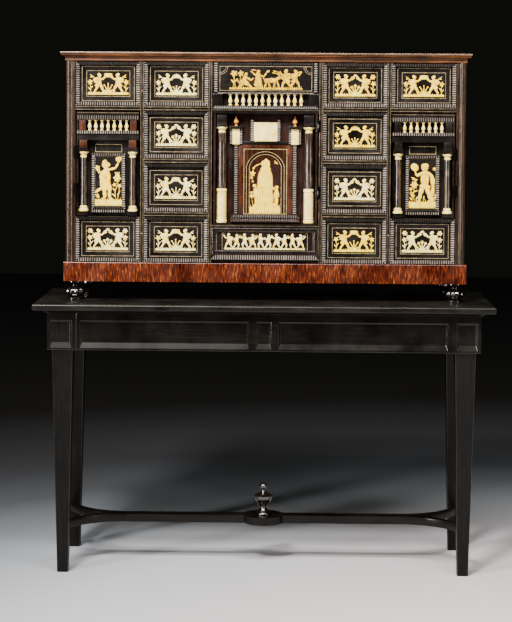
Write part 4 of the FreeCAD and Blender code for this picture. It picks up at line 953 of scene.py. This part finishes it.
# %% Lathe
def turn(bm, outline, x, y, z, steps=16, lobes=None):
    """Spins an outline of (radius, height) round an upright axis. lobes is (count, depth, low, high)."""
    lathe = bmesh.new()
    points = [lathe.verts.new((radius, 0, height)) for radius, height in outline]
    chain = [lathe.edges.new(pair) for pair in zip(points, points[1:])]
    bmesh.ops.spin(
        lathe, geom=points + chain, cent=(0, 0, 0), axis=UP, angle=2 * math.pi, steps=steps, use_merge=True
    )
    bmesh.ops.remove_doubles(lathe, verts=lathe.verts, dist=0.001)
    if lobes:
        count, depth, low, high = lobes
        for vert in lathe.verts:
            if low <= vert.co.z <= high:
                swell = 1 + depth * math.cos(count * math.atan2(vert.co.y, vert.co.x))
                vert.co.x *= swell
                vert.co.y *= swell
    bmesh.ops.translate(lathe, vec=(x, y, z), verts=lathe.verts)
    bmesh.ops.recalc_face_normals(lathe, faces=lathe.faces)
    join(bm, lathe)


def shaped(shares, radius, height):
    """An outline given in shares, closed on its axis at both ends."""
    points = [(share * radius, level * height) for share, level in shares]
    return [(0, points[0][1]), *points, (0, points[-1][1])]


# %% Balusters of the upper centre drawer
BALUSTER = (
    (0.85, 0.0), (0.85, 0.06), (0.5, 0.1), (0.46, 0.15), (0.78, 0.25), (1.0, 0.38), (0.84, 0.5), (0.5, 0.66),
    (0.36, 0.8), (0.36, 0.87), (0.6, 0.9), (0.85, 0.94), (0.85, 1.0),
)
FRIEZE_BALUSTERS = 12
bm = bmesh.new()
for i in range(FRIEZE_BALUSTERS):
    turn(bm, shaped(BALUSTER, 5.7, 32.5), -101.2 + 18.4 * i, -98.0, 1333.8)
piece = keep("frieze_drawer_turned_balusters", bm, turned_ivory, "frieze_drawer", outwards=False)
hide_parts("frieze_drawer_balusters")

# %% Capitals, bases and balusters of the side doors
CAPITAL = (
    (0.62, 0.0), (0.62, 0.07), (0.72, 0.1), (0.72, 0.17), (0.62, 0.22), (0.61, 0.42), (0.7, 0.56),
    (0.86, 0.66), (0.9, 0.72), (1.0, 0.76), (1.0, 0.98), (1.0, 1.0),
)
SIDE_BASE = (
    (1.0, 0.0), (1.0, 0.26), (0.96, 0.34), (0.76, 0.42), (0.72, 0.52), (0.8, 0.6), (0.84, 0.7), (0.74, 0.8),
    (0.66, 0.86), (0.66, 1.0),
)
SIDE_BALUSTERS = 7
SIDE_COLUMN_OUT, SIDE_COLUMN_Y = 70.5, -94.65
for body, middle in SIDE_MIDDLE.items():
    bm = bmesh.new()
    for i in range(SIDE_BALUSTERS):
        turn(bm, shaped(BALUSTER, 5.4, 29.5), middle - 52.8 + 17.6 * i, -99.8, 1259.6, 14)
    for x in (middle - SIDE_COLUMN_OUT, middle + SIDE_COLUMN_OUT):
        turn(bm, shaped(CAPITAL, 13.7, 17), x, SIDE_COLUMN_Y, 1182.1, 24)
        turn(bm, shaped(SIDE_BASE, 13.6, 15.5), x, SIDE_COLUMN_Y, 1029.1, 24)
    piece = keep(body + "_turned_ivory", bm, turned_ivory, body, outwards=False)
    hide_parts(body + "_ivories")

# %% [markdown]
# ## The centre door's ivory
# Its two large columns stand on ivory drums and carry ivory capitals. Beside the portal are
# plain ivory blocks, and in the broken pediment is a bare ivory tablet. The drums and capitals
# are spun, and the plates are bevelled faces.

# %% Large turned ivory and plates
COLUMN_OUT, COLUMN_Y = 124.5, -92.65
BLOCK_OUT = 84.3
LEAF_FACE = -76.5
DRUM = (
    (14.9, 0), (14.9, 7.2), (14.2, 8.4), (12.4, 8.9), (12.4, 10.4), (14.3, 11.2), (14.3, 14.6), (12.9, 15.4),
    (12.6, 17), (13.6, 18), (13.6, 85), (12.8, 86), (12.8, 87.4), (14.3, 88), (14.8, 90),
    (14.8, 94.5), (13.6, 97),
)
bm = bmesh.new()
for x in (-COLUMN_OUT, COLUMN_OUT):
    turn(bm, [(0, 0), *DRUM, (0, 97)], x, COLUMN_Y, 999.1, 40)
    turn(bm, shaped(CAPITAL, 15.4, 17), x, COLUMN_Y, 1255.6, 40)
plate(bm, -34, 34, 1231.6, 1285.6, LEAF_FACE, 6, 0.8)
two_plates(bm, 0, BLOCK_OUT, 10.3, 1222.6, 1266.6, LEAF_FACE, 12, 0.8)
piece = keep("centre_door_turned_ivory", bm, turned_ivory, "centre_door", outwards=False)
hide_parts("centre_door_ivories")

# %% Shafts and flames
SHAFT = ((13.0, 0), (13.0, 2), (12.2, 3.5), (12.2, 60), (11.9, 110), (11.5, 154), (12.4, 156), (12.4, 159.5))
bm = bmesh.new()
for x in (-COLUMN_OUT, COLUMN_OUT):
    turn(bm, [(0, 0), *SHAFT, (0, 159.5)], x, COLUMN_Y, 1096.1, 40)
piece = keep("centre_door_shell_shafts", bm, turtle_shell, "centre_door", outwards=False)
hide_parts("centre_door_shafts")
FLAME = (
    (0.6, 0.0), (0.62, 0.07), (0.34, 0.14), (0.34, 0.2), (0.82, 0.3), (1.0, 0.42), (0.86, 0.54), (0.5, 0.66),
    (0.34, 0.78), (0.2, 0.9), (0.06, 1.0),
)
bm = bmesh.new()
for x in (-BLOCK_OUT, BLOCK_OUT):
    turn(bm, shaped(FLAME, 7.3, 29), x, -85.5, 1274.6, 20)
piece = keep("centre_door_turned_flames", bm, stained_bone, "centre_door", outwards=False)
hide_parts("centre_door_flames")

# %% [markdown]
# ## Side doors: shafts, red blocks and ripples
# The small columns have polished shafts. Above their capitals sit little blocks, veneered red on
# the left door and dark on the right one, and the same blocks end the balustrade. Ripples run
# along the top cornice, the ledge, the foot and the frame round the boy.

# %% Side doors
SIDE_LEAF_FACE, ORDER_FACE, LEDGE_FACE = -80.5, -105.5, -108.5
SIDE_SHAFT = ((8.8, 0), (8.4, 137.5))
# Painted light: the crest highlight of each strip round the side doors' boys, as the lamps fall.
SIDE_DOOR_CREST_HIGHLIGHTS = (0.45, 1.0, 0.65, 0.9)


def level_strip(bm, x0, x1, y, z, width, top, **more):
    """A waved strip from x0 to x1 whose lower edge is at z."""
    ripple_strip(bm, Vector((x0, y, z)), RIGHT, x1 - x0, width, top, **more)


for body, middle in SIDE_MIDDLE.items():
    bm = bmesh.new()
    for x in (middle - SIDE_COLUMN_OUT, middle + SIDE_COLUMN_OUT):
        turn(bm, SIDE_SHAFT, x, SIDE_COLUMN_Y, 1044.6, 28)
    keep(body + "_shafts", bm, turtle_shell, body, outwards=False)
    bm = bmesh.new()
    two_plates(bm, middle, SIDE_COLUMN_OUT, 10.6, 1211.8, 1232.0, ORDER_FACE, 0.5, 0.3)
    two_plates(bm, middle, 73, 8.8, 1260.3, 1288.6, ORDER_FACE, 0.5, 0.3)
    keep(body + "_block_veneers", bm, red_band if body == "left_door" else ebony_level, body)
    bm = bmesh.new()
    frame_box = (middle - 48.75, middle + 48.75, 1032.6, 1194.6)
    ripple_frame(bm, *frame_box, SIDE_LEAF_FACE, 10, 5, wave=1.4, lights=SIDE_DOOR_CREST_HIGHLIGHTS)
    low, high = middle - 88.6, middle + 88.6
    level_strip(bm, low, high, ORDER_FACE, 1291, 12, 2.2, bevel=1, light=0.66)
    level_strip(bm, low, high, LEDGE_FACE, 1250, 9.4, 0.3, bevel=1, wave=1.2, light=0.85)
    level_strip(bm, middle - 48.7, middle + 48.7, -92.5, 1024.2, 8, 0.3, bevel=1, wave=1.0, light=0.8)
    keep_ripples(body, bm)
    bm = bmesh.new()
    line_frame(bm, middle - 38.2, middle + 38.2, 1197.5, 1220, SIDE_LEAF_FACE, 1.2)
    line_frame(bm, middle - 39.4, middle + 39.4, 1042, 1185.2, SIDE_NICHE_FACE, 1.1, 0.4)
    keep_lines(body, bm, light_line)
    bm = bmesh.new()
    line_frame(bm, low, high, 1309.5, 1311.2, LEDGE_FACE, 0.7, 0.25)
    line_frame(bm, low, high, 1289.4, 1291, ORDER_FACE, 0.7, 0.4)
    keep(body + "_cornice_lines", bm, gold_line, body)

# %% [markdown]
# ## Centre door: ripples, lines and the dark parts of the portal
# The portal's panel is red rosewood, but its mouldings are ebonised and rippled. Two light lines
# follow the arch of the niche, one on its edge and one inside it, and a third line frames the
# panel. An arch is one short edge spun through a little less than half a turn, with straight
# legs below.

# %% Centre door: lines
PANEL_FACE = -81.5
ARCH_SPRING, ARCH_FOOT, ARCH_STEPS = 1158.6, 1023.7, 24


def arch_line(bm, half, rise, y, width):
    """A thin line up one side, round an arch and down the other."""
    radius = (half**2 + rise**2) / (2 * rise)
    centre = Vector((0, y, ARCH_SPRING + rise - radius))
    swing = 2 * math.asin(half / radius)
    first = Vector((half, y, ARCH_SPRING)) - centre
    ends = [bm.verts.new(centre + first), bm.verts.new(centre + first * (1 + width / radius))]
    edge = bm.edges.new(ends)
    spun = bmesh.ops.spin(bm, geom=ends + [edge], cent=centre, axis=FRONT, angle=swing, steps=ARCH_STEPS)
    far = [item for item in spun["geom_last"] if isinstance(item, bmesh.types.BMEdge)]
    for start in ([edge], far):
        for item in bmesh.ops.extrude_edge_only(bm, edges=start)["geom"]:
            if isinstance(item, bmesh.types.BMVert):
                item.co.z = ARCH_FOOT
    raise_faces(bm, bm.faces[:], 0.35)


arches = bmesh.new()
for half, rise, y in ((53.6, 42.6, PANEL_FACE), (45.2, 34.5, NICHE_FACE)):
    bm = bmesh.new()
    arch_line(bm, half, rise, y, 1.1)
    join(arches, bm)
line_frame(arches, -62, 62, 1022.2, 1209.5, PANEL_FACE, 1.2)
keep_lines("centre_door", arches, light_line)


# %% Centre door: ripples
def upright_strip(bm, x, y, z, length, width, top, **more):
    """A waved strip that stands between x and x + width, with its foot at z."""
    ripple_strip(bm, Vector((x + width, y, z)), UP, length, width, top, **more)


BASE_HALF = 98.5
bm = bmesh.new()
# Painted light: the right strip's crests get a stronger painted highlight than the left one's.
for x, light in ((78, 0.76), (-90.5, 0.62)):
    upright_strip(bm, x, LEAF_FACE, 1021.8, 200.6, 12.5, 7, wave=1.6, light=light)
for x in (-102.6, -74.0, 66.0, 94.6):
    upright_strip(bm, x, LEAF_FACE, 1222.8, 43.6, 8, 9, bevel=1.6, pitch=5, wave=1.4)
for x in (-43, 34):
    upright_strip(bm, x, LEAF_FACE, 1231.8, 61.6, 9, 8, bevel=1.6, pitch=5, wave=1.4)
for y, z, width, top, light in ((-86.7, 1012, 8.6, 0.3, 0.62), (-91.7, 1002, 7.6, 0.9, 0.6)):
    level_strip(
        bm, -BASE_HALF, BASE_HALF, y, z, width, top, mitres=(1, 1), bevel=1, wave=1.6, lean=1, light=light
    )
keep_ripples("centre_door", bm)

# %% Centre door: veneered faces
IMPOST_FACE = -107.9
BAND_OUT, BAND_HALF = 70.25, 7.05
bm = bmesh.new()
plate(bm, -66, 66, 1224.6, 1231.6, -85.5, 0.6, 0.4)
plate(bm, -BASE_HALF, BASE_HALF, 1012, 1020.6, -86.5, 0.2, 0.1)
plate(bm, -BASE_HALF, BASE_HALF, 1002, 1009.6, -91.3, 0.4, 0.2)
two_plates(bm, 0, BLOCK_OUT, 20.2, 1266.4, 1274.8, -94.5, 0.6, 0.4)
two_plates(bm, 0, COLUMN_OUT, 14.2, 1272.8, 1279.5, IMPOST_FACE, 0.55, 0.4)
two_plates(bm, 0, COLUMN_OUT, 13.2, 1280.5, 1284.0, IMPOST_FACE, 0.4, 0.3)
two_plates(bm, 0, COLUMN_OUT, 15.6, 994.8, 999.0, -108.2, 0.3, 0.2)
keep("centre_door_dark_faces", bm, ebony_level, "centre_door")
bm = bmesh.new()
two_plates(bm, 0, COLUMN_OUT, 13.4, 1284.5, 1306.4, IMPOST_FACE, 0.3, 0.3)
keep("centre_door_impost_veneers", bm, ebony_upright, "centre_door")
bm = bmesh.new()
two_plates(bm, 0, BAND_OUT, BAND_HALF, 1022.2, 1221.5, PANEL_FACE, 0.2, 0.1)
plate(bm, BAND_HALF - BAND_OUT, BAND_OUT - BAND_HALF, 1210.7, 1221.5, PANEL_FACE, 0.2, 0.1)
keep("centre_door_red_bands", bm, red_band, "centre_door")

# %% [markdown]
# ## Frieze drawer and low drawer
# Ripples run down both sides of the upper frieze and along its rail, and a line with quarter
# circles in the top corners frames it. Under the low drawer a rippled ledge stands forward.

# %% Centre drawers
FRIEZE_BOARD = -106.5
QUARTER_RADII = (16.5, 21.5)
bm = bmesh.new()
for x in (-147, 137.4):
    upright_strip(bm, x, FRIEZE_BOARD, 1371, 85, 9.6, 0.4, bevel=1)
level_strip(bm, -137, 137, FRIEZE_BOARD, 1366.6, 4.6, 0.3, bevel=1, pitch=4, wave=0.9)
level_strip(bm, -151.5, 151.5, -108.5, 1324, 8.6, 0.2, mitres=(1, 1), bevel=1, wave=0.3, lean=3, light=0.55)
# Painted light: the upper strip's crests get the weakest painted highlight.
level_strip(bm, -137, 137, FRIEZE_BOARD, 1448, 8.6, 0.3, bevel=1, light=0.3)
keep_ripples("frieze_drawer", bm)

bm = bmesh.new()
line_frame(bm, -131.5, 131.5, 1375.6, 1445.5, FRIEZE_BOARD, 1.2)
for side in (-1, 1):
    corner = Vector((side * 130.5, FRIEZE_BOARD, 1444.5))
    for radius in QUARTER_RADII:
        ends = [bm.verts.new(corner + DOWN * reach) for reach in (radius, radius + 1.5)]
        edge = bm.edges.new(ends)
        geom = ends + [edge]
        bmesh.ops.spin(bm, geom=geom, cent=corner, axis=(0, side, 0), angle=math.pi / 2, steps=10)
keep_lines("frieze_drawer", bm, drawer_line)

bm = bmesh.new()
level_strip(bm, -156, 156, -112.8, 892.8, 14, 0.3, mitres=(1, 1), bevel=1.2, wave=0.8, lean=3, light=0.8)
keep_ripples("low_drawer", bm)
bm = bmesh.new()
for half, z0, z1 in ((138.7, 908.5, 972.6), (122.5, 914.5, 968.5)):
    line_frame(bm, -half, half, z0, z1, BOARD_FACE, 1.1, 0.5)
keep_lines("low_drawer", bm, drawer_line)

# %% [markdown]
# ## Lines and strips on the dividers
# Every divider between the drawers carries thin lines of box wood along both edges, with the
# black ground left between them, and the upright ones a brown strip in the middle. On the side
# boards a line and a brown strip run beside the rounded moulding. Each is a thin bevelled plate.

# %% Divider lines
DIVIDER_FACE = -108.5
DIVIDER_FOOT, DIVIDER_HEAD = 884, 1457.5
DUST_BOARD, PARTITION = 11.5, 9
levels = [(BAYS[b], top) for b in ("b", "c") for top in TOPS[:3]]
levels += [(BAYS[b], TOPS[2]) for b in ("a", "d")]
uprights = (-357, -162, 153, 348)
bm = bmesh.new()
for (x0, x1), top in levels:
    for z in (top + 0.8, top + DUST_BOARD - 2.6):
        plate(bm, x0 + 0.5, x1 - 0.5, z, z + 1.8, DIVIDER_FACE, 0.3, 0.2)
for x in uprights:
    for start in (x + 0.3, x + PARTITION - 1.6):
        plate(bm, start, start + 1.3, DIVIDER_FOOT, DIVIDER_HEAD, DIVIDER_FACE, 0.24, 0.2)
for z in (1320.2, 989.0):
    plate(bm, -152.5, 152.5, z, z + 1.2, DIVIDER_FACE, 0.3, 0.2)
two_plates(bm, 0, 553.6, 0.9, DIVIDER_FOOT, DIVIDER_HEAD, DIVIDER_FACE, 0.3, 0.2)
keep("divider_lines", bm, gold_line, "cabinet")
bm = bmesh.new()
for x in uprights:
    plate(bm, x + 3.0, x + 6.0, DIVIDER_FOOT, DIVIDER_HEAD, DIVIDER_FACE, 0.24, 0.2)
two_plates(bm, 0, 548, 3.4, DIVIDER_FOOT, DIVIDER_HEAD, DIVIDER_FACE, 0.24, 0.2)
keep("divider_strips", bm, dark_red, "cabinet")

# %% [markdown]
# ## Small metal and pegs
# The centre door has a small lock plate at its left edge: a round one with a boss, between two
# smaller ones. A few light pegs show where a divider was pinned. Each is a short cone, a little
# smaller in front, so that its edge catches the light.

# %% Lock plate and pegs
def disc(bm, x, y, z, radius, depth, segments=20):
    """A round plate whose back lies at y, a little smaller in front."""
    matrix = Matrix.Translation((x, y - depth / 2, z)) @ Matrix.Rotation(math.pi / 2, 4, "X")
    bmesh.ops.create_cone(
        bm, cap_ends=True, segments=segments, radius1=radius, radius2=radius * 0.85, depth=depth,
        matrix=matrix,
    )


LOCK_X, LOCK_Z = -100, 1165
LOCK_DISCS = ((0, 0, 6, 1.0), (1.0, 0, 3.4, 1.0), (0, -8.5, 3.2, 0.9), (0, 8.5, 3.2, 0.9))
bm = bmesh.new()
for proud, up, radius, depth in LOCK_DISCS:
    disc(bm, LOCK_X, LEAF_FACE - proud, LOCK_Z + up, radius, depth)
keep("centre_door_lock_plate", bm, dark_iron, "centre_door")
bm = bmesh.new()
for x, z in ((-352.5, 1374), (-352.5, 966), (352.5, 966)):
    disc(bm, x, DIVIDER_FACE, z, 1.6, 0.5, 12)
keep("divider_pegs", bm, light_line, "cabinet")

# %% [markdown]
# ## The urn and the feet
# Both are turned: the urn stands on the stretcher, and the cabinet's feet also have a carved,
# lobed collar. They are spun like the ivory, and the lobes come from swelling and shrinking the
# radius as it goes round.

# %% Urn and feet
URN = (
    (0.9, 0.0), (0.92, 0.03), (0.88, 0.06), (0.74, 0.09), (0.56, 0.13), (0.42, 0.18), (0.36, 0.23),
    (0.38, 0.28), (0.5, 0.33), (0.68, 0.39), (0.84, 0.45), (0.95, 0.51), (1.0, 0.57), (0.99, 0.6),
    (0.9, 0.62), (0.78, 0.64), (0.54, 0.68), (0.34, 0.72), (0.24, 0.75), (0.22, 0.79), (0.32, 0.82),
    (0.42, 0.87), (0.43, 0.92), (0.34, 0.96), (0.18, 1.0),
)
bm = bmesh.new()
turn(bm, shaped(URN, 26.5, 92), 0, 0, 136, 48)
piece = keep("turned_urn", bm, turned_black, "cabinet", outwards=False)
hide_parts("urn_finial")
FOOT = (
    (0.76, 0.0), (0.82, 0.03), (0.82, 0.1), (0.64, 0.15), (0.54, 0.19), (0.72, 0.24), (0.9, 0.3),
    (0.98, 0.37), (1.0, 0.45), (0.96, 0.53), (0.84, 0.6), (0.62, 0.66), (0.42, 0.72), (0.38, 0.79),
    (0.5, 0.85), (0.72, 0.9), (0.84, 0.94), (0.84, 1.0),
)
FOOT_HEIGHT = 54
LOBES = (10, 0.06, 0.22 * FOOT_HEIGHT, 0.62 * FOOT_HEIGHT)
bm = bmesh.new()
for x in (-545.5, 545.5):
    for y in (-85, 190):
        turn(bm, shaped(FOOT, 28.2, FOOT_HEIGHT), x, y, 774, 72, LOBES)
piece = keep("turned_cabinet_feet", bm, turned_black, "cabinet", outwards=False)
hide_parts("turned_feet")

# %% [markdown]
# ## Floor and light
# The object stands on a plain pale floor whose colour is painted darker away behind it, a painted
# shade. The lights are soft and plain. A long one high in front catches the waves of the upright
# strips, two tall ones at the sides catch the waves of the level strips, and a square one from the
# front left is the key. Only a trace of light comes from all round.

# %% Floor
floor_material, tree, shader, where = start_material("studio_floor_painted_shade")
FADE_METRES = 4.0
FADE_MIDDLE = (0.9, -0.9)
shift = (-FADE_MIDDLE[0] / FADE_METRES, -FADE_MIDDLE[1] / FADE_METRES, 0)
smaller = (1 / FADE_METRES, 1 / FADE_METRES, 1)
spread = add(tree, "ShaderNodeMapping", {"Location": shift, "Scale": smaller}, {"Vector": where})
spread = spread.outputs["Vector"]
away = add(tree, "ShaderNodeTexGradient", {"gradient_type": "SPHERICAL"}, {"Vector": spread})
# Painted shade: the floor's colour runs from pale near the cabinet to near black far behind it.
FLOOR_PAINTED_SHADE = (
    (0.0, "101010"), (0.15, "262729"), (0.3, "383a3e"), (0.4, "4c5055"), (0.48, "72787f"), (0.56, "959aa1"),
    (0.64, "aeb0b5"), (0.78, "bebfc2"), (0.9, "cccdd0"),
)
tree.links.new(ramp(tree, away.outputs["Color"], FLOOR_PAINTED_SHADE), shader.inputs["Base Color"])
settle(shader, {"Roughness": 0.7, "Specular IOR Level": 0.2})
bm = bmesh.new()
bmesh.ops.create_grid(bm, x_segments=1, y_segments=1, size=9)
mesh = bpy.data.meshes.new("studio_floor")
bm.to_mesh(mesh)
bm.free()
mesh.materials.append(floor_material)
floor = bpy.data.objects.new("studio_floor", mesh)
bpy.context.scene.collection.objects.link(floor)
print("floor fades over", FADE_METRES, "m")

# %% Lights
WARM_WHITE = (1.0, 0.945, 0.885)
MIDDLE = Vector((0, -0.1, 1.1))
LIGHTS = (
    ("overhead", (0, -1.9, 3.4), (3.4, 0.5), 230),
    ("left_strip", (-3.0, -2.6, 1.5), (0.4, 2.2), 170),
    ("right_strip", (3.0, -2.8, 1.4), (0.4, 2.2), 35),
    ("key", (-1.4, -4.0, 4.6), (0.8, 0.8), 470),
)
AMBIENT = 0.045
for name, place, size, watts in LIGHTS:
    data = bpy.data.lights.new(name, "AREA")
    data.shape = "RECTANGLE"
    data.size, data.size_y = size
    data.energy = watts
    data.color = WARM_WHITE
    light = bpy.data.objects.new(name, data)
    light.location = place
    light.rotation_euler = (MIDDLE - Vector(place)).to_track_quat("-Z", "Y").to_euler()
    bpy.context.scene.collection.objects.link(light)
world = bpy.data.worlds.new("studio")
bpy.context.scene.world = world
world.use_nodes = True
background = world.node_tree.nodes["Background"].inputs
background["Color"].default_value = colour("64665c")
background["Strength"].default_value = AMBIENT
print(len(LIGHTS), "soft lights")
